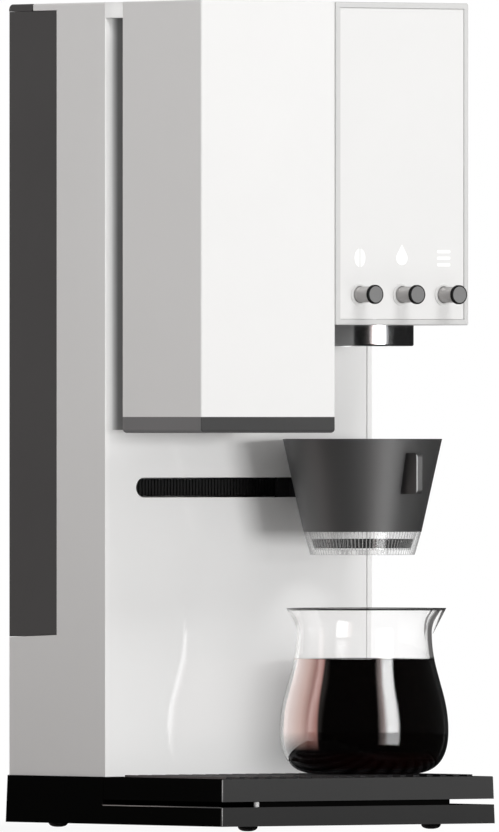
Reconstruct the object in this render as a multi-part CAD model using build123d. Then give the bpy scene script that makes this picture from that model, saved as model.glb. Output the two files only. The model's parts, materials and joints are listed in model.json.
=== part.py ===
"""Pour-over coffee machine with a built-in bean grinder.

Millimetres, X to the right, Y to the rear, Z up. The origin is on the worktop, under
the middle of the base. A column at the rear holds the water tank, the pump, the heater
and the dripper's drive. A front block hangs from it, with a grinder on the left and a
brew head on the right. A carriage behind the column's slot takes the dripper from the
grinder's chute to the spout, above a carafe that stands on a weighing platform.
"""

from build123d import *
import math
import os

# Fits
SEAM = 0.4
FIT = 0.3
RUNNING = 0.05
PRESSED = 0.02

# Base, feet and weighing platform
BASE_WIDTH = 182.4
BASE_DEPTH = 194.4
BASE_HEIGHT = 25.1
BASE_DRAFT = 2.3
BASE_CORNER = 1.8
PLATE_HEIGHT = 10.1
PLATFORM_GAP = 3.0
PLATFORM_ROUND = 0.6
PEDESTAL_WIDTH = 130.0
PEDESTAL_FRONT_INSET = 5.2
PEDESTAL_CORNER = 2.0
PEDESTAL_RISE = 2.0
PEDESTAL_CLEARANCE = 1.5
FOOT_RADIUS = 5.3
FOOT_HEIGHT = 2.9
FOOT_ROUND = 2.0
FOOT_SIDE_INSET = 30.2
FOOT_FRONT_INSET = 17.7
FOOT_REAR_INSET = 7.7
SCREW_RADIUS = 1.9
SCREW_HEAD_RADIUS = 3.6
SCREW_HEAD_HEIGHT = 2.2
SCREW_SINK = 0.8
SCREW_GRIP = 12.0
BOSS_RADIUS = 4.5
BOSS_HEIGHT = 18.0
BOSS_INSET = 12.0
CELL_LENGTH = 80.0
CELL_WIDTH = 12.7
CELL_HEIGHT = 8.0
CELL_SPACER = 1.0
CELL_PAD = 14.0
CELL_HOLE = 2.6
CELL_POCKET_FLOOR = 3.0
PAN_FLOOR = 2.0
GRILLE_RIM = 6.0
GRILLE_LEDGE = 3.0
GRILLE_CORNER = 3.0
GRILLE_PLATE = 1.9
GRILLE_PROUD = 1.0
GRILLE_RAIL = 7.0
BAR_PITCH = 8.9
BAR_WIDTH = 3.7
BAR_END = 1.5

# Column
MACHINE_HEIGHT = 440.0
COLUMN_WIDTH = 178.0
COLUMN_DEPTH = 86.9
COLUMN_REAR_INSET = 0.8
COLUMN_WALL = 3.0
REAR_CORNER = 1.2
EDGE_ROUND = 1.0
TOP_PLATE = 3.7
PANEL_THICKNESS = 3.0
PANEL_RECESS = 0.6
PANEL_GAP = 0.15
SLOT_HEIGHT = 10.6
SLOT_MARGIN = 15.5
REAR_COVER_RECESS = 1.2
VENT_COUNT = 8
VENT_LENGTH = 46.0
VENT_HEIGHT = 2.4
VENT_PITCH = 5.5

# Water tank
TANK_DEPTH = 43.4
TANK_BOTTOM = 102.0
TANK_SLOPE = 1.4
TANK_WALL = 2.5
TANK_INNER_CORNER = 1.0
TANK_BRIDGE = 1.0
TANK_LID_DEPTH = 21.9
TANK_LID_ROUND = 3.0
TANK_LID_EDGE = 0.8
TANK_MOUTH_MARGIN = 14.0
HINGE_PIN_RADIUS = 1.0
LUG_X = 60.0
LUG_WIDTH = 6.0
LUG_PIN_LENGTH = 16.0
SPIGOT_RADIUS = 5.0
SPIGOT_BORE = 3.0
SPIGOT_LENGTH = 12.0
SPIGOT_SIDE_INSET = 31.0
SPIGOT_RISE = 16.0
COUPLING_RADIUS = 9.0
COUPLING_FLANGE = 13.0
COUPLING_FLANGE_THICKNESS = 3.0
COUPLING_LENGTH = 15.0
SEAL_SECTION = 0.8

# Front block
BLOCK_GAP = 15.0
BLOCK_DEPTH = 70.5
BLOCK_SEAM = 0.3
BRIDGE_HEIGHT = 8.3
BRIDGE_BEVEL = 15.0
NECK_WIDTH = 120.0
NECK_RISE = 27.4
NECK_WALL = 4.0
NECK_DROP = 15.0
GRINDER_WALL = 2.5
GRINDER_ROOF = 4.0
TRIM_HEIGHT = 8.5
TRIM_ROUND = 2.0
TRIM_FLOOR = 3.0
HEAD_STEP = 57.4
HEAD_WALL = 3.0
HEAD_ROUND = 0.8
FASCIA_THICKNESS = 3.0
FASCIA_RECESS = 0.5

# Grinder
BEAN_LID_MARGIN = 9.925
BEAN_LID_DEPTH = 52.0
BEAN_LID_CORNER = 4.0
BEAN_LID_THICKNESS = 4.0
BEAN_NOTCH_RADIUS = 5.0
BEAN_NOTCH_DEPTH = 2.5
HOPPER_WALL = 2.0
HOPPER_RIM = 3.0
HOPPER_THROAT = 28.0
HOPPER_CORNER = 6.0
SHELF_RISE = 92.0
SHELF_THICKNESS = 4.0
BURR_SIDE_GAP = 1.925
BURR_CHAMBER_RADIUS = 26.0
BURR_CHAMBER_HEIGHT = 38.0
BURR_CHAMBER_WALL = 3.0
BURR_RING_GAP = 2.0
BURR_TOP_RADIUS = 7.0
BURR_HEIGHT = 22.0
BURR_RING_WALL = 4.0
BURR_TEETH = 12
BURR_SHAFT_RADIUS = 4.0
GRINDER_MOTOR_RADIUS = 20.5
GRINDER_MOTOR_LENGTH = 66.0
CHUTE_RADIUS = 8.0
CHUTE_WALL = 1.5
CHUTE_GAP = 0.5

# Brew head
SPOUT_HEIGHT = 11.1
SPOUT_RADIUS = 27.3
SPOUT_BORE = 22.0
SPOUT_NECK_RADIUS = 18.0
SPOUT_NECK_BORE = 14.0
SPOUT_ROOF = 2.5
SPOUT_NECK_RISE = 4.0
SCREEN_THICKNESS = 1.5
SCREEN_RECESS = 2.0
SCREEN_LIP = 2.0
SCREEN_HOLE = 0.9
SCREEN_RINGS = 3
MANIFOLD_HEIGHT = 8.0
MANIFOLD_RADIUS = 20.0
KNOB_SIDE_INSET = 16.425
KNOB_RISE = 16.2
KNOB_STEM_RADIUS = 4.2
KNOB_CAP_RADIUS = 5.1
KNOB_CAP_THICKNESS = 1.9
KNOB_PROUD = 13.6
KNOB_SINK = 2.4
KNOB_TRAVEL = 1.2
KNOB_GROOVES = 6
KNOB_GROOVE_DEPTH = 0.25
KNOB_COLLAR_RADIUS = 6.0
KNOB_COLLAR_PROUD = 0.5
KNOB_COLLAR_LIP = 1.0
KNOB_SHAFT_RADIUS = 3.0
KNOB_END_WALL = 3.2
ENCODER_SIZE = 12.0
ENCODER_DEPTH = 6.0
ENCODER_GAP = 3.0
ENCODER_FLOOR = 1.2
BOARD_THICKNESS = 1.6
ICON_RISE = 19.5
ICON_DEPTH = 0.8
BEAN_SIGN_HALF_WIDTH = 3.6
BEAN_SIGN_HALF_HEIGHT = 4.9
BEAN_SIGN_SLIT = 1.0
DROP_SIGN_RADIUS = 3.8
DROP_SIGN_TIP = 7.2
BAR_SIGN_LENGTH = 9.0
BAR_SIGN_HEIGHT = 1.7
BAR_SIGN_PITCH = 3.5

# Water path
PUMP_LENGTH = 62.0
PUMP_RADIUS = 16.0
PUMP_HEAD_LENGTH = 18.0
PUMP_HEAD_RADIUS = 18.0
PUMP_AXIS_RISE = 22.0
PUMP_SADDLE = 10.0
PUMP_SIDE_GAP = 7.0
PUMP_REAR_INSET = 24.4
HEATER_WIDTH = 60.0
HEATER_DEPTH = 25.0
HEATER_HEIGHT = 90.0
HEATER_FOOT = 1.0
HEATER_DROP = 50.0
HEATER_SIDE_GAP = 4.0
HEATER_CORNER = 5.0
HEATER_RIBS = 5
HOSE_RADIUS = 3.0
HOSE_BORE = 2.0
HOSE_BEND = 9.0
NIPPLE_LENGTH = 6.0
CONTROL_BOARD_GAP = 13.5
CONTROL_BOARD_HEIGHT = 42.0
CONTROL_BOARD_STANDOFF = 3.4
STANDOFF_RADIUS = 2.5
STANDOFF_INSET = 4.0
COMPONENT_MARGIN = 8.0
TRANSFORMER_WIDTH = 22.0
TRANSFORMER_HEIGHT = 20.0
TRANSFORMER_DEPTH = 9.0
RELAY_WIDTH = 10.0
RELAY_HEIGHT = 16.0
RELAY_DEPTH = 7.0
RELAY_PITCH = 13.0
CAPACITOR_RADIUS = 4.0
CAPACITOR_RISE = 9.0
CAPACITOR_DEPTH = 8.0
CONNECTOR_WIDTH = 12.0
CONNECTOR_HEIGHT = 28.0
CONNECTOR_DEPTH = 5.0
INLET_WIDTH = 24.0
INLET_HEIGHT = 16.4
INLET_FLANGE = 3.2
INLET_DEPTH = 16.0
INLET_WALL = 2.0
INLET_SIDE_INSET = 38.0
INLET_RISE = 33.0
PIN_WIDTH = 2.0
PIN_HEIGHT = 4.0
PIN_LENGTH = 9.0
PIN_PITCH = 7.0

# Carriage drive
BELT_WIDTH = 9.0
BELT_THICKNESS = 1.2
BELT_RIB = 0.8
BELT_RIB_PITCH = 2.1
BELT_RIB_WIDTH = 1.0
PULLEY_RADIUS = 6.4
PULLEY_FLANGE_RADIUS = 9.3
PULLEY_FLANGE = 1.0
PULLEY_INSET = 12.5
AXLE_RADIUS = 2.0
BRACKET_PLATE = 3.0
BRACKET_HEIGHT = 52.0
EAR_THICKNESS = 3.0
EAR_WIDTH = 14.0
ROD_RADIUS = 3.0
ROD_SPACING = 32.0
ROD_OFFSET = 14.0
CARRIAGE_END_GAP = 3.725
CARRIAGE_HEIGHT = 48.0
CARRIAGE_PLATE = 2.5
CARRIAGE_CHANNEL = 16.0
CARRIAGE_BACK = 7.0
BUSH_RADIUS = 5.0
BUSH_GAP = 14.0
JAW_THICKNESS = 3.0
JAW_WIDTH = 16.0
DRIVE_MOTOR_RADIUS = 9.2
DRIVE_MOTOR_LENGTH = 38.0
DRIVE_SHAFT_DEPTH = 10.0
ARM_WIDTH = 16.0
ARM_CLEARANCE = 0.5
DOCK_WIDTH = 16.0
DOCK_HEIGHT = 14.0
DOCK_THICKNESS = 4.0
DOCK_STANDOFF = 2.0
DOCK_PIN_RADIUS = 1.5
DOCK_PIN_LENGTH = 4.0
DOCK_PIN_PITCH = 9.0

# Dripper
BREW_GAP = 28.48
DRIPPER_CLEARANCE = 3.2
DRIPPER_RADIUS = 42.5
DRIPPER_WAIST = 31.5
DRIPPER_CONE_HEIGHT = 49.5
DRIPPER_WALL = 2.4
DRIPPER_FOOT_RADIUS = 28.0
DRIPPER_BASE_HEIGHT = 12.3
DRIPPER_FLOOR = 2.5
DRIPPER_RIBS = 90
DRIPPER_RIB_DEPTH = 0.7
DRIP_HOLE = 1.8
DRIP_HOLE_RING = 12.0
DRIP_HOLE_COUNT = 8
LUG_DROP = 25.9
TAB_THICKNESS = 3.7
TAB_REACH = 50.3
TAB_DROP = 7.5
TAB_HEIGHT = 21.8
TAB_ROUND = 2.5

# Carafe
CARAFE_SHIFT = 1.0
CARAFE_FOOT_RADIUS = 25.0
CARAFE_BELLY_RADIUS = 45.1
CARAFE_BELLY_HEIGHT = 23.0
CARAFE_NECK_RADIUS = 36.2
CARAFE_NECK_HEIGHT = 75.0
CARAFE_RIM_RADIUS = 41.6
CARAFE_HEIGHT = 88.4
CARAFE_WALL = 2.0
BEAK_REACH = 3.2
BEAK_RADIUS = 9.0
BEAK_HEIGHT = 17.0
BEAK_ANGLE = -25.0

# Heights and planes that follow
BASE_BOTTOM = FOOT_HEIGHT
BASE_TOP = BASE_BOTTOM + BASE_HEIGHT
PLATE_TOP = BASE_BOTTOM + PLATE_HEIGHT
PLATFORM_BOTTOM = PLATE_TOP + PLATFORM_GAP
BASE_FRONT = -BASE_DEPTH / 2
BASE_REAR = BASE_DEPTH / 2
BASE_LEAN = BASE_HEIGHT * math.tan(math.radians(BASE_DRAFT))
COLUMN_REAR = BASE_REAR - COLUMN_REAR_INSET
COLUMN_FRONT = COLUMN_REAR - COLUMN_DEPTH
COLUMN_SIDE = COLUMN_WIDTH / 2
CAVITY_SIDE = COLUMN_SIDE - COLUMN_WALL
SCREW_SIDE = min(CAVITY_SIDE, BASE_WIDTH / 2 - BASE_LEAN) - BOSS_RADIUS
BAY_FRONT = COLUMN_REAR - TANK_DEPTH
BULKHEAD = BAY_FRONT - COLUMN_WALL
BAY_TOP = MACHINE_HEIGHT - TOP_PLATE
ROOF_UNDERSIDE = MACHINE_HEIGHT - BRIDGE_HEIGHT
LEDGE_UNDERSIDE = TANK_BOTTOM - FIT - COLUMN_WALL
PANEL_FRONT = COLUMN_FRONT + PANEL_RECESS
PANEL_REAR = PANEL_FRONT + PANEL_THICKNESS
REAR_COVER_FACE = COLUMN_REAR - REAR_COVER_RECESS

PEDESTAL_FRONT = BASE_FRONT + PEDESTAL_FRONT_INSET
PEDESTAL_TOP = PLATFORM_BOTTOM + PEDESTAL_RISE
PAN_UNDERSIDE = PEDESTAL_TOP + PEDESTAL_CLEARANCE
PAN_TOP = PAN_UNDERSIDE + PAN_FLOOR
PLATFORM_REAR = COLUMN_FRONT - SEAM
CELL_Y = (BASE_FRONT + COLUMN_FRONT) / 2
CELL_BOTTOM = BASE_BOTTOM + CELL_POCKET_FLOOR
GRILLE_SIDE = BASE_WIDTH / 2 - BASE_LEAN - GRILLE_RIM
GRILLE_FRONT = BASE_FRONT + BASE_LEAN + GRILLE_RIM
GRILLE_REAR = PLATFORM_REAR - GRILLE_RIM
GRILLE_BOTTOM = BASE_TOP - GRILLE_PLATE
GRILLE_TOP = BASE_TOP + GRILLE_PROUD
CARAFE_BOTTOM = GRILLE_TOP + PRESSED
DRIPPER_BOTTOM = CARAFE_BOTTOM + CARAFE_HEIGHT + BREW_GAP
DRIPPER_CONE_BOTTOM = DRIPPER_BOTTOM + DRIPPER_BASE_HEIGHT
DRIPPER_TOP = DRIPPER_CONE_BOTTOM + DRIPPER_CONE_HEIGHT

TANK_FRONT = BAY_FRONT + FIT
TANK_TOP = BAY_TOP - FIT
TANK_LID_FRONT = COLUMN_REAR - TANK_LID_DEPTH
TANK_LID_BOTTOM = TANK_TOP + FIT / 2
TANK_HINGE_RADIUS = (MACHINE_HEIGHT - TANK_LID_BOTTOM) / 2
TANK_HINGE_Y = TANK_LID_FRONT + TANK_HINGE_RADIUS
TANK_HINGE_Z = MACHINE_HEIGHT - TANK_HINGE_RADIUS
SPIGOT_X = SPIGOT_SIDE_INSET - CAVITY_SIDE
SPIGOT_Z = TANK_BOTTOM + SPIGOT_RISE
PUMP_X = PUMP_SIDE_GAP + BOSS_RADIUS - SCREW_SIDE
HEATER_X = HEATER_SIDE_GAP + HEATER_WIDTH / 2 - CAVITY_SIDE
INLET_X = CAVITY_SIDE - INLET_SIDE_INSET

BLOCK_REAR = COLUMN_FRONT - BLOCK_GAP
BLOCK_FRONT = BLOCK_REAR - BLOCK_DEPTH
BLOCK_AXIS = (BLOCK_REAR + BLOCK_FRONT) / 2
GRINDER_RIGHT = -BLOCK_SEAM / 2
GRINDER_X = (GRINDER_RIGHT - COLUMN_SIDE) / 2
GRINDER_BOTTOM = DRIPPER_TOP + DRIPPER_CLEARANCE
GRINDER_SHELL_BOTTOM = GRINDER_BOTTOM + TRIM_HEIGHT
GRINDER_ROOF_UNDER = MACHINE_HEIGHT - GRINDER_ROOF
HEAD_LEFT = BLOCK_SEAM / 2
HEAD_BOTTOM = GRINDER_BOTTOM + HEAD_STEP
BREW_X = (HEAD_LEFT + COLUMN_SIDE) / 2
NECK_TOP = ROOF_UNDERSIDE - NECK_DROP + NECK_WALL
NECK_BOTTOM = HEAD_BOTTOM + NECK_RISE
NECK_HEIGHT = NECK_TOP - NECK_BOTTOM
FASCIA_FRONT = BLOCK_FRONT + FASCIA_RECESS
FASCIA_REAR = FASCIA_FRONT + FASCIA_THICKNESS
KNOB_Z = HEAD_BOTTOM + KNOB_RISE
KNOB_PITCH = (COLUMN_SIDE - HEAD_LEFT) / 2 - KNOB_SIDE_INSET
KNOB_XS = [BREW_X + step * KNOB_PITCH for step in (-1, 0, 1)]
KNOB_FRONT = BLOCK_FRONT - KNOB_PROUD
ENCODER_FRONT = FASCIA_REAR + ENCODER_GAP
ENCODER_REAR = ENCODER_FRONT + ENCODER_DEPTH
SPOUT_BOTTOM = HEAD_BOTTOM - SPOUT_HEIGHT
SPOUT_NECK_TOP = HEAD_BOTTOM + HEAD_WALL + SPOUT_NECK_RISE
MANIFOLD_TOP = SPOUT_NECK_TOP + MANIFOLD_HEIGHT

SHELF_BOTTOM = GRINDER_BOTTOM + SHELF_RISE
SHELF_TOP = SHELF_BOTTOM + SHELF_THICKNESS
GRINDER_INNER_WIDTH = GRINDER_RIGHT + COLUMN_SIDE - 2 * GRINDER_WALL
BEAN_LID_WIDTH = GRINDER_INNER_WIDTH - 2 * BEAN_LID_MARGIN
BURR_RADIUS = BURR_CHAMBER_RADIUS - BURR_CHAMBER_WALL - BURR_RING_WALL - BURR_RING_GAP
BURR_X = GRINDER_WALL + BURR_SIDE_GAP + BURR_CHAMBER_RADIUS - COLUMN_SIDE
CHAMBER_TOP = SHELF_TOP + BURR_CHAMBER_HEIGHT
BEAN_HINGE_RADIUS = BEAN_LID_THICKNESS / 2
BEAN_HINGE_Y = BLOCK_AXIS + BEAN_LID_DEPTH / 2 - BEAN_HINGE_RADIUS
BEAN_HINGE_Z = MACHINE_HEIGHT - BEAN_HINGE_RADIUS
CHUTE_X = BURR_X + GRINDER_MOTOR_RADIUS + CHUTE_GAP + CHUTE_WALL + CHUTE_RADIUS

DRIVE_Z = DRIPPER_TOP - LUG_DROP
DOCK_FACE = COLUMN_FRONT - DOCK_STANDOFF - DOCK_THICKNESS
LUG_FACE = DOCK_FACE - FIT
CARRIAGE_TRAVEL = BREW_X - GRINDER_X
SLOT_SIDE = BREW_X + ARM_WIDTH / 2 + SLOT_MARGIN
CARRIAGE_FRONT = PANEL_REAR + FIT
BELT_FRONT = CARRIAGE_FRONT + CARRIAGE_PLATE + FIT
BELT_INNER = PULLEY_RADIUS + FIT
DRIVE_Y = BELT_FRONT + BELT_RIB + BELT_THICKNESS + BELT_INNER
PULLEY_X = CAVITY_SIDE - PULLEY_INSET
PULLEY_HALF = BELT_WIDTH / 2 + FIT + PULLEY_FLANGE
CARRIAGE_WIDTH = 2 * (PULLEY_X - BREW_X - DRIVE_MOTOR_RADIUS - CARRIAGE_END_GAP)
BUSH_LENGTH = (CARRIAGE_WIDTH - BUSH_GAP) / 2
EAR_INNER = PULLEY_HALF + FIT
EAR_OUTER = EAR_INNER + EAR_THICKNESS
ROD_Y = DRIVE_Y + ROD_OFFSET
CARRIAGE_REAR = ROD_Y + CARRIAGE_BACK
BRACKET_FACE = CAVITY_SIDE - BRACKET_PLATE

CARAFE_X = BREW_X + CARAFE_SHIFT


def span(x0, x1, y0, y1, z0, z1):
    """A block between two opposite corners."""
    middle = Pos((x0 + x1) / 2, (y0 + y1) / 2, (z0 + z1) / 2)
    return middle * Box(abs(x1 - x0), abs(y1 - y0), abs(z1 - z0))


def upright(radius, x, y, z0, z1):
    """A cylinder along Z."""
    return Pos(x, y, (z0 + z1) / 2) * Cylinder(radius, z1 - z0)


def along_x(radius, y, z, x0, x1):
    """A cylinder along X."""
    return Pos((x0 + x1) / 2, y, z) * Rot(0, 90, 0) * Cylinder(radius, abs(x1 - x0))


def along_y(radius, x, z, y0, y1):
    """A cylinder along Y."""
    return Pos(x, (y0 + y1) / 2, z) * Rot(90, 0, 0) * Cylinder(radius, abs(y1 - y0))


def frustum(lower, upper, x, y, z0, z1):
    """A cone's slice along Z, from one radius below to another above."""
    return Pos(x, y, (z0 + z1) / 2) * Cone(lower, upper, z1 - z0)


def rounded(x0, x1, y0, y1, z0, z1, radius):
    """A block whose upright edges are rounded."""
    outline = Pos((x0 + x1) / 2, (y0 + y1) / 2, z0) * RectangleRounded(x1 - x0, y1 - y0, radius)
    return extrude(outline, z1 - z0)


def front_prism(outline, x, z, y0, y1):
    """An outline drawn as seen from the front, made solid from y0 back to y1."""
    plane = Plane(origin=(x, y1, z), x_dir=(1, 0, 0), z_dir=(0, -1, 0))
    return extrude(plane * outline, y1 - y0)


def side_prism(points, half_width):
    """An outline of (Y, Z) points, made solid to both sides of the middle."""
    return extrude(Plane.YZ * Polygon(*points, align=None), half_width, both=True)


def group(items):
    """Separate solids of one kind, kept as one piece."""
    items = list(items)
    return items[0] + items[1:]


def edges_along(shape, axis, sort_axis, end):
    """The edges parallel to an axis that lie at one end of another axis."""
    return shape.edges().filter_by(axis).group_by(sort_axis)[end]


def tube(points, bend):
    """A hose along straight runs joined by bends of one radius."""
    path = FilletPolyline(*points, radius=bend)
    ring = Circle(HOSE_RADIUS) - Circle(HOSE_BORE)
    return sweep(Plane(origin=path @ 0, z_dir=path % 0) * ring, path=path)


# Base


def base_form():
    """The whole base as one drafted block, before it is parted."""
    outline = Pos(0, 0, BASE_BOTTOM) * RectangleRounded(BASE_WIDTH, BASE_DEPTH, BASE_CORNER)
    return extrude(outline, BASE_HEIGHT, taper=BASE_DRAFT)


def screw_points():
    """Where the base screws rise into the column's bosses."""
    ends = (COLUMN_FRONT + BOSS_INSET, COLUMN_REAR - BOSS_INSET)
    return [(x, y) for x in (-SCREW_SIDE, SCREW_SIDE) for y in ends]


def base_housing():
    """The lower plate, the pedestal under the platform and the block under the column."""
    body = base_form()
    body -= span(-BASE_WIDTH, BASE_WIDTH, -BASE_DEPTH, COLUMN_FRONT, PLATE_TOP, BASE_TOP + 1)
    half = PEDESTAL_WIDTH / 2
    rear = COLUMN_FRONT + BASE_CORNER
    body += rounded(-half, half, PEDESTAL_FRONT, rear, PLATE_TOP, PEDESTAL_TOP, PEDESTAL_CORNER)
    pocket = CELL_LENGTH / 2 + PEDESTAL_CLEARANCE
    side = CELL_WIDTH / 2 + PEDESTAL_CLEARANCE
    body -= span(-pocket, pocket, CELL_Y - side, CELL_Y + side, CELL_BOTTOM, PEDESTAL_TOP + 1)
    sunk = BASE_BOTTOM + SCREW_SINK + SCREW_HEAD_HEIGHT
    for x, y in screw_points():
        body -= upright(SCREW_HEAD_RADIUS + FIT, x, y, BASE_BOTTOM - 1, sunk)
        body -= upright(SCREW_RADIUS + RUNNING, x, y, BASE_BOTTOM, BASE_TOP + 1)
    return body


def feet():
    """Four rubber domes with a small flat to stand on."""
    side = BASE_WIDTH / 2 - FOOT_SIDE_INSET
    ends = (BASE_FRONT + FOOT_FRONT_INSET, BASE_REAR - FOOT_REAR_INSET)
    foot = upright(FOOT_RADIUS, 0, 0, 0, FOOT_HEIGHT)
    foot = fillet(foot.edges().group_by(Axis.Z)[0], FOOT_ROUND)
    return group(Pos(x, y, 0) * foot for x in (-side, side) for y in ends)


def base_screws():
    """Screws that hold the column down on the base."""
    head = BASE_BOTTOM + SCREW_SINK
    neck = head + SCREW_HEAD_HEIGHT
    screws = []
    for x, y in screw_points():
        screw = upright(SCREW_HEAD_RADIUS, x, y, head, neck)
        screw += upright(SCREW_RADIUS, x, y, neck, BASE_TOP + SCREW_GRIP)
        slot = RegularPolygon(SCREW_RADIUS, 6)
        screw -= extrude(Pos(x, y, head) * slot, SCREW_HEAD_HEIGHT / 2)
        screws.append(screw)
    return group(screws)


def load_cell():
    """A bending beam: its left end stands on the base, its right end bears the platform."""
    half = CELL_LENGTH / 2
    side = CELL_WIDTH / 2
    bottom = CELL_BOTTOM + CELL_SPACER
    top = bottom + CELL_HEIGHT
    cell = span(-half, half, CELL_Y - side, CELL_Y + side, bottom, top)
    cell += span(-half, -half + CELL_PAD, CELL_Y - side, CELL_Y + side, CELL_BOTTOM, bottom)
    cell += span(half - CELL_PAD, half, CELL_Y - side, CELL_Y + side, top, PAN_UNDERSIDE)
    eye = SlotOverall(CELL_LENGTH / 3, 2 * CELL_HOLE)
    return cell - front_prism(eye, 0, (bottom + top) / 2, CELL_Y - side - 1, CELL_Y + side + 1)


def scale_platform():
    """The weighing platform: hollow over the pedestal, with the drip pan in its top."""
    wide = BASE_WIDTH
    body = base_form() & span(-wide, wide, -BASE_DEPTH, PLATFORM_REAR, PLATFORM_BOTTOM, BASE_TOP)
    body = fillet(body.faces().sort_by(Axis.Z)[-1].edges(), PLATFORM_ROUND)
    half = PEDESTAL_WIDTH / 2 + PEDESTAL_CLEARANCE
    front = PEDESTAL_FRONT - PEDESTAL_CLEARANCE
    body -= span(-half, half, front, PLATFORM_REAR + 1, PLATFORM_BOTTOM - 1, PAN_UNDERSIDE)
    body -= grille_outline(-GRILLE_LEDGE, PAN_TOP, BASE_TOP + 1)
    return body - grille_outline(0, GRILLE_BOTTOM, BASE_TOP + 1)


def grille_outline(grow, z0, z1):
    """The drip grille's rounded outline, grown or shrunk on every side."""
    side = GRILLE_SIDE + grow
    return rounded(
        -side, side, GRILLE_FRONT - grow, GRILLE_REAR + grow, z0, z1, GRILLE_CORNER
    )


def drip_grille():
    """A slotted plate whose bars run front to back and stand a little proud."""
    plate = grille_outline(-FIT, GRILLE_BOTTOM, BASE_TOP)
    bar_count = int((2 * GRILLE_SIDE - BAR_WIDTH) / BAR_PITCH) + 1
    first = -(bar_count - 1) / 2 * BAR_PITCH
    places = [first + step * BAR_PITCH for step in range(bar_count)]
    front = GRILLE_FRONT + GRILLE_RAIL
    rear = GRILLE_REAR - GRILLE_RAIL
    gap = (BAR_PITCH - BAR_WIDTH) / 2
    slots = []
    for x in places[:-1]:
        middle = x + BAR_PITCH / 2
        slots.append(
            rounded(
                middle - gap, middle + gap, front, rear, GRILLE_BOTTOM - 1, GRILLE_TOP, gap - RUNNING
            )
        )
    plate = plate - slots
    end = FIT + BAR_END
    half = BAR_WIDTH / 2
    bars = []
    for x in places:
        low = (x - half, x + half, GRILLE_FRONT + end, GRILLE_REAR - end)
        bars.append(span(*low, BASE_TOP - PRESSED, GRILLE_TOP))
    return plate + bars


# Column


def tank_floor(y):
    """Height of the tank's sloping underside at one depth."""
    return TANK_BOTTOM + TANK_SLOPE * (COLUMN_REAR - y) / TANK_DEPTH


def column_shell():
    """Side walls, top and bulkhead, open at the front, with the tank's bay at the rear."""
    body = span(-COLUMN_SIDE, COLUMN_SIDE, COLUMN_FRONT, COLUMN_REAR, BASE_TOP, MACHINE_HEIGHT)
    body = fillet(edges_along(body, Axis.Z, Axis.Y, -1), REAR_CORNER)
    body = fillet(body.faces().sort_by(Axis.Z)[-1].edges(), EDGE_ROUND)
    low = BASE_TOP - 1
    body -= span(-CAVITY_SIDE, CAVITY_SIDE, COLUMN_FRONT - 1, BULKHEAD, low, ROOF_UNDERSIDE)
    body -= span(-CAVITY_SIDE, CAVITY_SIDE, BULKHEAD - 1, COLUMN_REAR + 1, low, LEDGE_UNDERSIDE)
    end = COLUMN_REAR + 1
    bay = [
        (BAY_FRONT, tank_floor(BAY_FRONT) - FIT),
        (end, tank_floor(end) - FIT),
        (end, BAY_TOP),
        (BAY_FRONT, BAY_TOP),
    ]
    body -= side_prism(bay, COLUMN_WIDTH)
    notch = TANK_LID_FRONT - SEAM
    body -= span(-COLUMN_WIDTH, COLUMN_WIDTH, notch, end, BAY_TOP - 1, MACHINE_HEIGHT + 1)
    body -= along_y(SPIGOT_RADIUS + FIT, SPIGOT_X, SPIGOT_Z, BULKHEAD - 1, BAY_FRONT + 1)
    for x, y in screw_points():
        wall = math.copysign(CAVITY_SIDE + COLUMN_WALL / 2, x)
        boss = upright(BOSS_RADIUS, x, y, BASE_TOP, BASE_TOP + BOSS_HEIGHT)
        boss += span(x, wall, y - BOSS_RADIUS, y + BOSS_RADIUS, BASE_TOP, BASE_TOP + BOSS_HEIGHT)
        body += boss
        body -= upright(SCREW_RADIUS + RUNNING, x, y, low, BASE_TOP + SCREW_GRIP + 1)
    return body


def neck_window(margin=0.0):
    """The outline of the passage from the column into the front block."""
    width = NECK_WIDTH - 2 * NECK_WALL + 2 * margin
    height = NECK_HEIGHT - 2 * NECK_WALL + 2 * margin
    return RectangleRounded(width, height, NECK_WALL + margin)


def neck_middle():
    """Height of the neck's axis."""
    return (NECK_TOP + NECK_BOTTOM) / 2


def column_panel():
    """The glossy front panel, with the carriage's slot and the passage to the block."""
    side = CAVITY_SIDE - PANEL_GAP
    top = ROOF_UNDERSIDE - PANEL_GAP
    panel = span(-side, side, PANEL_FRONT, PANEL_REAR, BASE_TOP, top)
    slot = SlotOverall(2 * SLOT_SIDE, SLOT_HEIGHT)
    panel -= front_prism(slot, 0, DRIVE_Z, PANEL_FRONT - 1, PANEL_REAR + 1)
    return panel - front_prism(neck_window(), 0, neck_middle(), PANEL_FRONT - 1, PANEL_REAR + 1)


def rear_cover():
    """The plate under the tank, with vents and the mains inlet's cut-out."""
    inner = REAR_COVER_FACE - COLUMN_WALL
    side = CAVITY_SIDE - PANEL_GAP
    cover = span(-side, side, inner, REAR_COVER_FACE, BASE_TOP, LEDGE_UNDERSIDE - PANEL_GAP)
    middle = (BASE_TOP + LEDGE_UNDERSIDE) / 2
    vent = SlotOverall(VENT_LENGTH, VENT_HEIGHT)
    for step in range(VENT_COUNT):
        height = middle + (step - (VENT_COUNT - 1) / 2) * VENT_PITCH
        cover -= front_prism(vent, PUMP_X + PUMP_LENGTH / 2, height, inner - 1, REAR_COVER_FACE + 1)
    hole = inlet_outline(INLET_WALL + PANEL_GAP)
    return cover - front_prism(hole, INLET_X, BASE_TOP + INLET_RISE, inner - 1, REAR_COVER_FACE + 1)


def inlet_outline(grow):
    """The mains socket's mouth, grown on every side."""
    return RectangleRounded(INLET_WIDTH + 2 * grow, INLET_HEIGHT + 2 * grow, 2.0 + grow)


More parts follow.
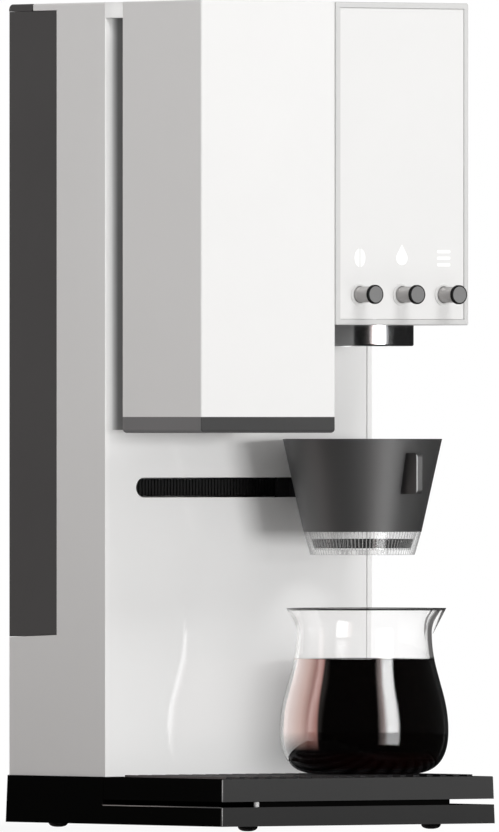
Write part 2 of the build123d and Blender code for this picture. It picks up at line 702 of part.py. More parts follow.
def mains_inlet():
    """A flanged appliance inlet with three flat pins."""
    height = BASE_TOP + INLET_RISE
    face = REAR_COVER_FACE + INLET_WALL
    floor = face - INLET_DEPTH
    inlet = front_prism(inlet_outline(INLET_WALL), INLET_X, height, floor - INLET_WALL, face)
    inlet += front_prism(
        inlet_outline(INLET_WALL + INLET_FLANGE), INLET_X, height, REAR_COVER_FACE, face
    )
    inlet -= front_prism(inlet_outline(0), INLET_X, height, floor, face + 1)
    for step in (-1, 0, 1):
        lift = PIN_HEIGHT / 4 if step == 0 else -PIN_HEIGHT / 4
        pin = RectangleRounded(PIN_WIDTH, PIN_HEIGHT, PIN_WIDTH / 4)
        inlet += front_prism(
            pin, INLET_X + step * PIN_PITCH, height + lift, floor - PRESSED, floor + PIN_LENGTH
        )
    return inlet


# Water tank


def tank_form(inset, corner):
    """The tank's body, or its hollow when inset by the wall."""
    front = TANK_FRONT + inset
    rear = COLUMN_REAR - inset
    points = [
        (front, tank_floor(front) + inset),
        (rear, tank_floor(rear) + inset),
        (rear, TANK_TOP - inset),
        (front, TANK_TOP - inset),
    ]
    form = side_prism(points, COLUMN_SIDE - inset)
    return fillet(edges_along(form, Axis.Z, Axis.Y, -1), corner)


def tank_mouth(grow):
    """The filling mouth's half width, front and rear edges."""
    front = TANK_HINGE_Y + TANK_HINGE_RADIUS + TANK_WALL - grow
    rear = COLUMN_REAR - TANK_WALL - HOPPER_WALL + grow
    return COLUMN_SIDE - TANK_MOUTH_MARGIN + grow, front, rear


def water_tank():
    """An open tank with a bridge for the lid, a filling mouth and a spigot that plugs in forwards."""
    tank = tank_form(0, REAR_CORNER) - tank_form(TANK_WALL, TANK_INNER_CORNER)
    side = COLUMN_SIDE - TANK_WALL
    bridge = TANK_LID_FRONT - TANK_BRIDGE
    tank -= span(-side, side, TANK_FRONT + TANK_WALL, bridge, TANK_TOP - TANK_WALL - 1, TANK_TOP + 1)
    half, front, rear = tank_mouth(0)
    tank -= rounded(-half, half, front, rear, TANK_TOP - TANK_WALL - 1, TANK_TOP + 1, TANK_WALL)
    for x in (-LUG_X, LUG_X):
        left = x - LUG_WIDTH / 2
        right = x + LUG_WIDTH / 2
        radius = TANK_HINGE_RADIUS - PRESSED
        lug = along_x(radius, TANK_HINGE_Y, TANK_HINGE_Z, left, right)
        lug += span(
            left, right, TANK_HINGE_Y - radius, TANK_HINGE_Y + radius, TANK_TOP - 1, TANK_HINGE_Z
        )
        lug -= along_x(HINGE_PIN_RADIUS + RUNNING, TANK_HINGE_Y, TANK_HINGE_Z, left - 1, right + 1)
        tank += lug
    tip = TANK_FRONT - SPIGOT_LENGTH
    tank += along_y(SPIGOT_RADIUS, SPIGOT_X, SPIGOT_Z, tip, TANK_FRONT + 1)
    return tank - along_y(SPIGOT_BORE, SPIGOT_X, SPIGOT_Z, tip - 1, TANK_FRONT + TANK_WALL + 1)


def tank_lid():
    """The lid over the filling mouth, with a round front edge turning on its pins."""
    rear = COLUMN_REAR
    lid = span(-COLUMN_SIDE, COLUMN_SIDE, TANK_HINGE_Y, rear, TANK_LID_BOTTOM, MACHINE_HEIGHT)
    top_rear = lid.edges().filter_by(Axis.X).group_by(Axis.Z)[-1].sort_by(Axis.Y)[-1]
    lid = fillet(top_rear, TANK_LID_ROUND)
    for end in (0, -1):
        rim = lid.faces().sort_by(Axis.X)[end].edges().sort_by(Axis.Y)[1:].sort_by(Axis.Z)[1:]
        lid = fillet(rim, TANK_LID_EDGE)
    lid += along_x(TANK_HINGE_RADIUS, TANK_HINGE_Y, TANK_HINGE_Z, -COLUMN_SIDE, COLUMN_SIDE)
    half = LUG_WIDTH / 2 + FIT
    back = TANK_HINGE_Y + TANK_HINGE_RADIUS + FIT
    for x in (-LUG_X, LUG_X):
        lid -= span(x - half, x + half, TANK_LID_FRONT - 1, back, TANK_TOP, MACHINE_HEIGHT + 1)
        reach = LUG_PIN_LENGTH / 2 + FIT
        lid -= along_x(HINGE_PIN_RADIUS + RUNNING, TANK_HINGE_Y, TANK_HINGE_Z, x - reach, x + reach)
    return lid


def tank_lid_pins():
    """Two short pins through the tank's lugs."""
    reach = LUG_PIN_LENGTH / 2
    return group(
        along_x(HINGE_PIN_RADIUS, TANK_HINGE_Y, TANK_HINGE_Z, x - reach, x + reach)
        for x in (-LUG_X, LUG_X)
    )


def tank_coupling():
    """The socket on the bulkhead that takes the tank's spigot and feeds the pump's hose."""
    tip = BULKHEAD - COUPLING_LENGTH
    body = along_y(COUPLING_RADIUS, SPIGOT_X, SPIGOT_Z, tip, BULKHEAD)
    flange = BULKHEAD - COUPLING_FLANGE_THICKNESS
    body += along_y(COUPLING_FLANGE, SPIGOT_X, SPIGOT_Z, flange, BULKHEAD)
    nipple = coupling_nipple()
    low = nipple[2] - NIPPLE_LENGTH
    body += upright(HOSE_BORE - RUNNING, nipple[0], nipple[1], low, SPIGOT_Z)
    body -= along_y(SPIGOT_RADIUS + FIT, SPIGOT_X, SPIGOT_Z, tip + COLUMN_WALL, BULKHEAD + 1)
    seal = BULKHEAD - COUPLING_FLANGE_THICKNESS
    groove = SPIGOT_RADIUS + FIT + 2 * SEAL_SECTION
    half = SEAL_SECTION + RUNNING
    body -= along_y(groove, SPIGOT_X, SPIGOT_Z, seal - half, seal + half)
    return body - upright(SEAL_SECTION, nipple[0], nipple[1], low - 1, SPIGOT_Z)


def coupling_nipple():
    """Where the hose meets the coupling's underside."""
    middle = BULKHEAD - COUPLING_FLANGE_THICKNESS - COUPLING_LENGTH / 2 + SEAL_SECTION
    return SPIGOT_X, middle, SPIGOT_Z - COUPLING_RADIUS - RUNNING


def tank_seal():
    """The ring in the coupling that closes on the spigot."""
    ring = Torus(SPIGOT_RADIUS + FIT + SEAL_SECTION, SEAL_SECTION)
    return Pos(SPIGOT_X, BULKHEAD - COUPLING_FLANGE_THICKNESS, SPIGOT_Z) * Rot(90, 0, 0) * ring


# Water path


def pump_inlet():
    """The nipple on top of the pump's head."""
    return PUMP_X + PUMP_HEAD_LENGTH / 2, COLUMN_REAR - PUMP_REAR_INSET


def pump():
    """A motor pump that lies across the column's foot on two saddles."""
    y = COLUMN_REAR - PUMP_REAR_INSET
    z = BASE_TOP + PUMP_AXIS_RISE
    end = PUMP_X + PUMP_LENGTH
    body = along_x(PUMP_RADIUS, y, z, PUMP_X, end)
    body = fillet(body.edges().group_by(Axis.X)[-1], HOSE_RADIUS)
    body += along_x(PUMP_HEAD_RADIUS, y, z, PUMP_X, PUMP_X + PUMP_HEAD_LENGTH)
    for x in (PUMP_X + PUMP_HEAD_LENGTH, end - PUMP_SADDLE):
        body += span(x, x + PUMP_SADDLE / 2, y - PUMP_RADIUS, y + PUMP_RADIUS, BASE_TOP, z)
    x, _ = pump_inlet()
    top = z + PUMP_HEAD_RADIUS
    body += upright(HOSE_BORE - RUNNING, x, y, z, top + NIPPLE_LENGTH)
    return body + along_x(HOSE_BORE - RUNNING, y, z, end - 1, end + NIPPLE_LENGTH)


def heater_box():
    """The heater's left, right, front, rear, lower and upper limits."""
    top = ROOF_UNDERSIDE - HEATER_DROP
    rear = BULKHEAD - HEATER_FOOT
    half = HEATER_WIDTH / 2
    return HEATER_X - half, HEATER_X + half, rear - HEATER_DEPTH, rear, top - HEATER_HEIGHT, top


def heater_ports():
    """The inlet under the heater and the outlet on top."""
    left, right, front, rear, _, _ = heater_box()
    inset = HEATER_CORNER + HOSE_RADIUS / 2
    return (left + inset, rear - HOSE_RADIUS - HEATER_FOOT), (right - inset, (front + rear) / 2)


def heater():
    """A cast flow heater with cooling ribs, on four short feet."""
    left, right, front, rear, low, top = heater_box()
    body = rounded(left, right, front + HEATER_CORNER, rear, low, top, HEATER_CORNER)
    step = (HEATER_WIDTH - HEATER_CORNER * 2) / (HEATER_RIBS - 1)
    for count in range(HEATER_RIBS):
        x = left + HEATER_CORNER + count * step
        body += span(x - 1, x + 1, front, rear - HEATER_CORNER, low + 2, top - 2)
    for x in (left + 2 * HEATER_CORNER, right - 2 * HEATER_CORNER):
        for z in (low + 2 * HEATER_CORNER, top - 2 * HEATER_CORNER):
            body += along_y(HEATER_CORNER, x, z, rear - 1, BULKHEAD)
    inlet, outlet = heater_ports()
    body += upright(HOSE_BORE - RUNNING, *inlet, low - NIPPLE_LENGTH, low + 1)
    return body + upright(HOSE_BORE - RUNNING, *outlet, top - 1, top + NIPPLE_LENGTH)


def suction_hose():
    """From the tank's coupling down to the pump."""
    x, y, top = coupling_nipple()
    inlet_x, inlet_y = pump_inlet()
    end = BASE_TOP + PUMP_AXIS_RISE + PUMP_HEAD_RADIUS + RUNNING
    middle = (top + end) / 2
    bend = min(HOSE_BEND, (top - end) / 2 - RUNNING)
    return tube([(x, y, top), (x, y, middle), (inlet_x, inlet_y, middle), (inlet_x, inlet_y, end)], bend)


def pressure_hose():
    """From the pump round its end and up the left of the column to the heater."""
    y = COLUMN_REAR - PUMP_REAR_INSET
    z = BASE_TOP + PUMP_AXIS_RISE
    start = PUMP_X + PUMP_LENGTH + RUNNING
    turn = start + 2 * HOSE_BEND
    (x, rear), _ = heater_ports()
    low = heater_box()[4] - RUNNING
    return tube([(start, y, z), (turn, y, z), (turn, rear, z), (x, rear, z), (x, rear, low)], HOSE_BEND)


def brew_hose():
    """From the heater over through the neck and down to the spout's manifold."""
    _, (x, y) = heater_ports()
    start = heater_box()[5] + RUNNING
    level = NECK_TOP - NECK_WALL - 2 * HOSE_RADIUS
    cross = HEAD_LEFT + HEAD_WALL + 3 * HOSE_RADIUS
    end = MANIFOLD_TOP + RUNNING
    points = [
        (x, y, start),
        (x, y, level),
        (cross, y, level),
        (cross, BLOCK_AXIS, level),
        (BREW_X, BLOCK_AXIS, level),
        (BREW_X, BLOCK_AXIS, end),
    ]
    return tube(points, HOSE_BEND)


def water_hoses():
    """The suction, pressure and brew hoses."""
    return group([suction_hose(), pressure_hose(), brew_hose()])


def control_board():
    """The main board on standoffs, with its larger components."""
    rear = BULKHEAD - CONTROL_BOARD_STANDOFF
    front = rear - BOARD_THICKNESS
    right = CAVITY_SIDE - BOSS_RADIUS
    left = SPIGOT_X + COUPLING_FLANGE + CONTROL_BOARD_GAP
    low = TANK_BOTTOM + CONTROL_BOARD_STANDOFF
    top = low + CONTROL_BOARD_HEIGHT
    board = span(left, right, front, rear, low, top)
    for x in (left + STANDOFF_INSET, right - STANDOFF_INSET):
        for z in (low + STANDOFF_INSET, top - STANDOFF_INSET):
            board += along_y(STANDOFF_RADIUS, x, z, rear, BULKHEAD)
    foot = low + COMPONENT_MARGIN
    coil = left + COMPONENT_MARGIN
    plug = right - COMPONENT_MARGIN - CONNECTOR_WIDTH
    relay = coil + TRANSFORMER_WIDTH + COMPONENT_MARGIN
    crown = foot + TRANSFORMER_HEIGHT
    board += span(coil, coil + TRANSFORMER_WIDTH, front - TRANSFORMER_DEPTH, front, foot, crown)
    crown = foot + CONNECTOR_HEIGHT
    board += span(plug, plug + CONNECTOR_WIDTH, front - CONNECTOR_DEPTH, front, foot, crown)
    crown = foot + RELAY_HEIGHT
    for step in range(int((plug - relay) / RELAY_PITCH)):
        x = relay + step * RELAY_PITCH
        middle = x + RELAY_WIDTH / 2
        board += span(x, x + RELAY_WIDTH, front - RELAY_DEPTH, front, foot, crown)
        board += along_y(
            CAPACITOR_RADIUS, middle, crown + CAPACITOR_RISE, front - CAPACITOR_DEPTH, front
        )
    return board


# Carriage drive


def drive_belt():
    """A ribbed belt round both pulleys, its ribs outwards."""
    inner = BELT_INNER
    outer = BELT_INNER + BELT_THICKNESS
    ring = SlotCenterToCenter(2 * PULLEY_X, 2 * outer)
    rib = Rectangle(BELT_RIB_WIDTH, 2 * BELT_RIB)
    count = int(PULLEY_X / BELT_RIB_PITCH)
    ribs = []
    for step in range(-count, count + 1):
        for side in (-1, 1):
            ribs.append(Pos(step * BELT_RIB_PITCH, side * outer) * rib)
    turns = int(math.pi * outer / BELT_RIB_PITCH)
    for step in range(1, turns):
        lean = Rot(0, 0, -90 + step * 180 / turns)
        around = Pos(PULLEY_X, 0) * lean * Pos(outer, 0) * Rot(0, 0, 90) * rib
        ribs += [around, Rot(0, 0, 180) * around]
    ring = ring + ribs
    ring = ring - SlotCenterToCenter(2 * PULLEY_X, 2 * inner)
    return extrude(Pos(0, DRIVE_Y, DRIVE_Z - BELT_WIDTH / 2) * ring, BELT_WIDTH)


def pulley(x):
    """A flanged belt wheel."""
    low = DRIVE_Z - PULLEY_HALF
    high = DRIVE_Z + PULLEY_HALF
    wheel = upright(PULLEY_RADIUS, x, DRIVE_Y, low, high)
    wheel += upright(PULLEY_FLANGE_RADIUS, x, DRIVE_Y, low, low + PULLEY_FLANGE)
    return wheel + upright(PULLEY_FLANGE_RADIUS, x, DRIVE_Y, high - PULLEY_FLANGE, high)


def drive_pulley():
    """The driven wheel with the motor's shaft through it."""
    low = DRIVE_Z - EAR_OUTER - DRIVE_SHAFT_DEPTH
    return pulley(PULLEY_X) + upright(AXLE_RADIUS, PULLEY_X, DRIVE_Y, low, DRIVE_Z + EAR_OUTER)


def idler_pulley():
    """The loose wheel at the other end."""
    low = DRIVE_Z - PULLEY_HALF - 1
    high = DRIVE_Z + PULLEY_HALF + 1
    return pulley(-PULLEY_X) - upright(AXLE_RADIUS + RUNNING, -PULLEY_X, DRIVE_Y, low, high)


def idler_pin():
    """The pin that the loose wheel turns on."""
    return upright(AXLE_RADIUS, -PULLEY_X, DRIVE_Y, DRIVE_Z - EAR_OUTER, DRIVE_Z + EAR_OUTER)


def drive_motor():
    """A small motor hanging under the right bracket."""
    top = DRIVE_Z - EAR_OUTER
    low = top - DRIVE_MOTOR_LENGTH
    motor = upright(DRIVE_MOTOR_RADIUS, PULLEY_X, DRIVE_Y, low, top)
    motor = fillet(motor.edges().group_by(Axis.Z)[0], EDGE_ROUND)
    depth = top - DRIVE_SHAFT_DEPTH - 1
    return motor - upright(AXLE_RADIUS + RUNNING, PULLEY_X, DRIVE_Y, depth, top + 1)


def rod_heights():
    """Heights of the two guide rods."""
    return DRIVE_Z - ROD_SPACING / 2, DRIVE_Z + ROD_SPACING / 2


def rail_bracket(side):
    """An end bracket: it holds the rods, and the pulley's axle between two ears."""
    half = BRACKET_HEIGHT / 2
    front = DRIVE_Y - EAR_WIDTH / 2
    rear = ROD_Y + CARRIAGE_BACK - 1
    face = side * BRACKET_FACE
    body = span(face, side * CAVITY_SIDE, front, rear, DRIVE_Z - half, DRIVE_Z + half)
    tip = side * (PULLEY_X - EAR_WIDTH / 2)
    for z0, z1 in ((-EAR_OUTER, -EAR_INNER), (EAR_INNER, EAR_OUTER)):
        ear = span(tip, face, front, front + EAR_WIDTH, DRIVE_Z + z0, DRIVE_Z + z1)
        ear = fillet(edges_along(ear, Axis.Z, Axis.X, -1 if side < 0 else 0)[:1], PULLEY_FLANGE)
        body += ear
    body -= upright(AXLE_RADIUS + RUNNING, side * PULLEY_X, DRIVE_Y, DRIVE_Z - half, DRIVE_Z + half)
    for z in rod_heights():
        inner = side * (BRACKET_FACE - 1)
        body -= along_x(ROD_RADIUS + PRESSED, ROD_Y, z, inner, side * (CAVITY_SIDE - 1))
    return body


def rail_brackets():
    """The left and the right end bracket."""
    return group(rail_bracket(side) for side in (-1, 1))


def guide_rods():
    """Two ground rods that the carriage runs on."""
    end = CAVITY_SIDE - 1 - PRESSED
    return group(along_x(ROD_RADIUS, ROD_Y, z, -end, end) for z in rod_heights())


def carriage():
    """The sliding block: a front plate, two bored arms and a jaw behind the belt."""
    left = BREW_X - CARRIAGE_WIDTH / 2
    right = BREW_X + CARRIAGE_WIDTH / 2
    half = CARRIAGE_HEIGHT / 2
    channel = CARRIAGE_CHANNEL / 2
    plate = CARRIAGE_FRONT + CARRIAGE_PLATE
    profile = [
        (CARRIAGE_FRONT, DRIVE_Z - half),
        (CARRIAGE_REAR, DRIVE_Z - half),
        (CARRIAGE_REAR, DRIVE_Z - channel),
        (plate, DRIVE_Z - channel),
        (plate, DRIVE_Z + channel),
        (CARRIAGE_REAR, DRIVE_Z + channel),
        (CARRIAGE_REAR, DRIVE_Z + half),
        (CARRIAGE_FRONT, DRIVE_Z + half),
    ]
    body = Pos(BREW_X, 0, 0) * side_prism(profile, CARRIAGE_WIDTH / 2)
    body = fillet(edges_along(body, Axis.X, Axis.Y, -1), EDGE_ROUND)
    jaw = DRIVE_Y - BELT_INNER + FIT
    grip = JAW_WIDTH / 2
    body += span(BREW_X - grip, BREW_X + grip, jaw, jaw + JAW_THICKNESS, DRIVE_Z - half, DRIVE_Z + half)
    for z in rod_heights():
        body -= along_x(BUSH_RADIUS + PRESSED, ROD_Y, z, left - 1, right + 1)
    return body


def carriage_bushes():
    """Four plain bearings pressed into the carriage's arms."""
    bushes = []
    for z in rod_heights():
        for end in (-1, 1):
            outer = BREW_X + end * CARRIAGE_WIDTH / 2
            inner = outer - end * BUSH_LENGTH
            bush = along_x(BUSH_RADIUS, ROD_Y, z, inner, outer)
            bushes.append(bush - along_x(ROD_RADIUS + RUNNING, ROD_Y, z, inner - end, outer + end))
    return group(bushes)


def dock_arm():
    """The arm through the slot, with the plate and pins that the dripper hangs on."""
    left = BREW_X - ARM_WIDTH / 2
    right = BREW_X + ARM_WIDTH / 2
    rise = SLOT_HEIGHT / 2 - ARM_CLEARANCE
    arm = span(left, right, DOCK_FACE + 1, CARRIAGE_FRONT, DRIVE_Z - rise, DRIVE_Z + rise)
    arm = fillet(edges_along(arm, Axis.Z, Axis.Y, 0), DOCK_STANDOFF)
    plate = RectangleRounded(DOCK_WIDTH, DOCK_HEIGHT, 2 * DOCK_STANDOFF)
    arm += front_prism(plate, BREW_X, DRIVE_Z, DOCK_FACE, DOCK_FACE + DOCK_THICKNESS)
    for side in (-1, 1):
        x = BREW_X + side * DOCK_PIN_PITCH / 2
        arm += along_y(DOCK_PIN_RADIUS, x, DRIVE_Z, DOCK_FACE - DOCK_PIN_LENGTH, DOCK_FACE + 1)
    return arm


# Front block


def neck():
    """The hollow bracket that carries the front block."""
    outer = RectangleRounded(NECK_WIDTH, NECK_HEIGHT, 2 * NECK_WALL)
    return front_prism(outer - neck_window(), 0, neck_middle(), BLOCK_REAR, PANEL_FRONT)


def top_bridge():
    """The cap over the gap between column and block, with bevelled ends."""
    narrow = COLUMN_SIDE - BRIDGE_BEVEL
    outline = Polygon(
        (-COLUMN_SIDE, COLUMN_FRONT),
        (-narrow, BLOCK_REAR),
        (narrow, BLOCK_REAR),
        (COLUMN_SIDE, COLUMN_FRONT),
        align=None,
    )
    return extrude(Pos(0, 0, ROOF_UNDERSIDE) * outline, BRIDGE_HEIGHT)


def block_window():
    """The cut through the block's rear walls, as wide as the neck's passage."""
    return front_prism(neck_window(), 0, neck_middle(), BLOCK_REAR - 2 * HEAD_WALL, BLOCK_REAR + 1)


def lid_outline(grow):
    """The bean lid's rounded rectangle, grown on every side."""
    return RectangleRounded(BEAN_LID_WIDTH + 2 * grow, BEAN_LID_DEPTH + 2 * grow, BEAN_LID_CORNER + grow)


def lid_cutter(grow, z0, z1):
    """The bean lid's space: round-cornered at the front, square at its hinge."""
    half = BEAN_LID_WIDTH / 2 + grow
    form = extrude(Pos(GRINDER_X, BLOCK_AXIS, z0) * lid_outline(grow), z1 - z0)
    rear = BEAN_HINGE_Y + BEAN_HINGE_RADIUS + grow
    return form + span(GRINDER_X - half, GRINDER_X + half, BLOCK_AXIS, rear, z0, z1)


def grinder_block(inset, z0, z1):
    """The grinder half's outer block between two heights, or the space inside its walls."""
    left = -COLUMN_SIDE + inset
    right = GRINDER_RIGHT - inset
    return span(left, right, BLOCK_FRONT + inset, BLOCK_REAR - inset, z0, z1)


def grinder_housing():
    """A box open below, with the bean lid's opening in its roof."""
    body = grinder_block(0, GRINDER_SHELL_BOTTOM, MACHINE_HEIGHT)
    body = fillet(body.edges().filter_by(Axis.Z), EDGE_ROUND)
    body = fillet(body.faces().sort_by(Axis.Z)[-1].edges(), EDGE_ROUND / 2)
    body -= grinder_block(GRINDER_WALL, GRINDER_SHELL_BOTTOM - 1, GRINDER_ROOF_UNDER)
    body -= lid_cutter(FIT, GRINDER_ROOF_UNDER - 1, MACHINE_HEIGHT + 1)
    notch = BLOCK_AXIS - BEAN_LID_DEPTH / 2
    scoop = MACHINE_HEIGHT - BEAN_NOTCH_DEPTH
    body -= upright(BEAN_NOTCH_RADIUS, GRINDER_X, notch, scoop, MACHINE_HEIGHT + 1)
    reach = BEAN_LID_WIDTH / 2 + HOPPER_CORNER
    left = GRINDER_X - reach
    right = GRINDER_X + reach
    body -= along_x(HINGE_PIN_RADIUS + RUNNING, BEAN_HINGE_Y, BEAN_HINGE_Z, left, right)
    return body - block_window()


def grinder_trim():
    """The dark pan that closes the grinder from below, with the chute's hole."""
    body = grinder_block(0, GRINDER_BOTTOM, GRINDER_SHELL_BOTTOM)
    body = fillet(body.edges().filter_by(Axis.Z), EDGE_ROUND)
    body = fillet(body.faces().sort_by(Axis.Z)[0].edges(), TRIM_ROUND)
    body -= grinder_block(GRINDER_WALL, GRINDER_BOTTOM + TRIM_FLOOR, GRINDER_SHELL_BOTTOM + 1)
    radius = CHUTE_RADIUS + CHUTE_WALL + PRESSED
    return body - upright(radius, CHUTE_X, BLOCK_AXIS, GRINDER_BOTTOM - 1, GRINDER_SHELL_BOTTOM)


def bean_lid():
    """The flush lid over the beans, with a round rear edge on its pin."""
    low = MACHINE_HEIGHT - BEAN_LID_THICKNESS
    left = GRINDER_X - BEAN_LID_WIDTH / 2
    right = GRINDER_X + BEAN_LID_WIDTH / 2
    lid = extrude(Pos(GRINDER_X, BLOCK_AXIS, low) * lid_outline(0), BEAN_LID_THICKNESS)
    lid += span(left, right, BLOCK_AXIS, BEAN_HINGE_Y, low, MACHINE_HEIGHT)
    lid -= span(left, right, BEAN_HINGE_Y, BLOCK_REAR, low, MACHINE_HEIGHT)
    lid += along_x(BEAN_HINGE_RADIUS, BEAN_HINGE_Y, BEAN_HINGE_Z, left, right)
    return lid - along_x(HINGE_PIN_RADIUS + RUNNING, BEAN_HINGE_Y, BEAN_HINGE_Z, -COLUMN_SIDE, 0)


def bean_lid_pin():
    """The pin along the bean lid's rear edge."""
    reach = BEAN_LID_WIDTH / 2 + HOPPER_CORNER - FIT
    return along_x(HINGE_PIN_RADIUS, BEAN_HINGE_Y, BEAN_HINGE_Z, GRINDER_X - reach, GRINDER_X + reach)


def hopper_form(inset):
    """The hopper's funnel, or its hollow when inset by the wall."""
    corner = HOPPER_CORNER - inset
    width = HOPPER_THROAT - 2 * inset
    throat = RectangleRounded(width, width, corner)
    mouth = RectangleRounded(BEAN_LID_WIDTH - 2 * inset, BEAN_LID_DEPTH - 2 * inset, corner)
    low = Pos(BURR_X, BLOCK_AXIS, CHAMBER_TOP) * throat
    top = Pos(GRINDER_X, BLOCK_AXIS, GRINDER_ROOF_UNDER - FIT) * mouth
    return loft([low, top], ruled=True)


def bean_hopper():
    """The funnel from the bean lid down to the burrs."""
    top = GRINDER_ROOF_UNDER
    half = BEAN_LID_WIDTH / 2 + HOPPER_RIM
    depth = BEAN_LID_DEPTH / 2 + HOPPER_RIM
    rim = rounded(
        GRINDER_X - half, GRINDER_X + half, BLOCK_AXIS - depth, BLOCK_AXIS + depth,
        top - HOPPER_WALL, top - PRESSED, HOPPER_CORNER,
    )
    return hopper_form(0) + rim - hopper_mouth() - hopper_form(HOPPER_WALL)


def hopper_mouth():
    """The hopper's hollow where it passes the rim."""
    mouth = RectangleRounded(
        BEAN_LID_WIDTH - 2 * HOPPER_WALL, BEAN_LID_DEPTH - 2 * HOPPER_WALL, HOPPER_CORNER - HOPPER_WALL
    )
    return extrude(Pos(GRINDER_X, BLOCK_AXIS, GRINDER_ROOF_UNDER - 2 * FIT) * mouth, 2)


def grinder_shelf():
    """The plate across the grinder that carries the motor below and the burrs above."""
    shelf = grinder_block(GRINDER_WALL, SHELF_BOTTOM, SHELF_TOP)
    shelf -= upright(BURR_SHAFT_RADIUS + FIT, BURR_X, BLOCK_AXIS, SHELF_BOTTOM - 1, SHELF_TOP + 1)
    radius = CHUTE_RADIUS + CHUTE_WALL + PRESSED
    return shelf - upright(radius, CHUTE_X, BLOCK_AXIS, SHELF_BOTTOM - 1, SHELF_TOP + 1)


def burr_chamber():
    """The drum round the burrs, with a spout-like side outlet over the chute."""
    outer = BURR_CHAMBER_RADIUS
    wall = BURR_CHAMBER_WALL
    drum = upright(outer, BURR_X, BLOCK_AXIS, SHELF_TOP, CHAMBER_TOP)
    ledge = SHELF_TOP + BURR_CHAMBER_HEIGHT / 2
    side = CHUTE_RADIUS + CHUTE_WALL
    drum += rounded(BURR_X, CHUTE_X + side, BLOCK_AXIS - side, BLOCK_AXIS + side, SHELF_TOP, ledge, wall)
    drum -= upright(outer - wall, BURR_X, BLOCK_AXIS, SHELF_TOP + wall, CHAMBER_TOP - wall)
    drum -= upright(BURR_RADIUS - wall, BURR_X, BLOCK_AXIS, CHAMBER_TOP - wall - 1, CHAMBER_TOP + 1)
    drum -= upright(BURR_SHAFT_RADIUS + FIT, BURR_X, BLOCK_AXIS, SHELF_TOP - 1, SHELF_TOP + wall + 1)
    drum -= upright(CHUTE_RADIUS, CHUTE_X, BLOCK_AXIS, SHELF_TOP - 1, ledge - wall)
    near = BLOCK_AXIS - CHUTE_RADIUS + wall
    far = BLOCK_AXIS + CHUTE_RADIUS - wall
    return drum - span(BURR_X, CHUTE_X, near, far, SHELF_TOP + wall, ledge - wall)


def burr_top():
    """Height of the outer burr's upper face."""
    return CHAMBER_TOP - BURR_CHAMBER_WALL


def around_burr(cutter):
    """One cutter repeated round the burrs' axis."""
    turns = [Rot(0, 0, step * 360 / BURR_TEETH) for step in range(BURR_TEETH)]
    return [Pos(BURR_X, BLOCK_AXIS, 0) * turn * cutter for turn in turns]


def outer_burr():
    """The fixed toothed ring under the chamber's roof."""
    top = burr_top()
    low = top - BURR_HEIGHT
    ring = upright(BURR_CHAMBER_RADIUS - BURR_CHAMBER_WALL - PRESSED, BURR_X, BLOCK_AXIS, low, top)
    bore = BURR_RADIUS + 2 * FIT
    ring -= frustum(bore, bore - BURR_RING_WALL, BURR_X, BLOCK_AXIS, low - PRESSED, top + PRESSED)
    notch = span(-BURR_RING_WALL / 2, BURR_RING_WALL / 2, 0, bore, top - BURR_HEIGHT / 2, top + 1)
    return ring - around_burr(notch)


def inner_burr():
    """The turning cone with its flutes and its shaft down into the motor."""
    top = burr_top()
    low = top - BURR_HEIGHT
    cone = frustum(BURR_RADIUS, BURR_TOP_RADIUS, BURR_X, BLOCK_AXIS, low, top)
    flute = Pos(BURR_RADIUS, 0, top) * Rot(0, -30, 0) * Cylinder(BURR_RING_WALL / 2, 3 * BURR_HEIGHT)
    cone -= around_burr(flute)
    return cone + upright(BURR_SHAFT_RADIUS, BURR_X, BLOCK_AXIS, SHELF_BOTTOM - BURR_HEIGHT, low + 1)


def grinder_motor():
    """The motor that hangs under the shelf, with its cooling ribs."""
    top = SHELF_BOTTOM
    low = top - GRINDER_MOTOR_LENGTH
    motor = upright(GRINDER_MOTOR_RADIUS, BURR_X, BLOCK_AXIS, low, top)
    motor = fillet(motor.edges().group_by(Axis.Z)[0], BURR_CHAMBER_WALL)
    depth = top - BURR_HEIGHT - 1
    return motor - upright(BURR_SHAFT_RADIUS + RUNNING, BURR_X, BLOCK_AXIS, depth, top + 1)


def grounds_chute():
    """The tube from the burr chamber down through the pan."""
    tube_outer = upright(CHUTE_RADIUS + CHUTE_WALL, CHUTE_X, BLOCK_AXIS, GRINDER_BOTTOM, SHELF_TOP)
    return tube_outer - upright(CHUTE_RADIUS, CHUTE_X, BLOCK_AXIS, GRINDER_BOTTOM - 1, SHELF_TOP + 1)


# Brew head


def head_shell():
    """A box open at the front, with the spout's hole below."""
    body = span(HEAD_LEFT, COLUMN_SIDE, BLOCK_FRONT, BLOCK_REAR, HEAD_BOTTOM, MACHINE_HEIGHT)
    body = fillet(body.edges().filter_by(Axis.Y), EDGE_ROUND)
    body = fillet(body.faces().sort_by(Axis.Y)[0].edges(), HEAD_ROUND)
    wall = HEAD_WALL
    body -= span(
        HEAD_LEFT + wall, COLUMN_SIDE - wall, BLOCK_FRONT - 1, BLOCK_REAR - wall,
        HEAD_BOTTOM + wall, MACHINE_HEIGHT - wall,
    )
    hole = SPOUT_NECK_RADIUS + PRESSED
    body -= upright(hole, BREW_X, BLOCK_AXIS, HEAD_BOTTOM - 1, HEAD_BOTTOM + wall + 1)
    return body - block_window()


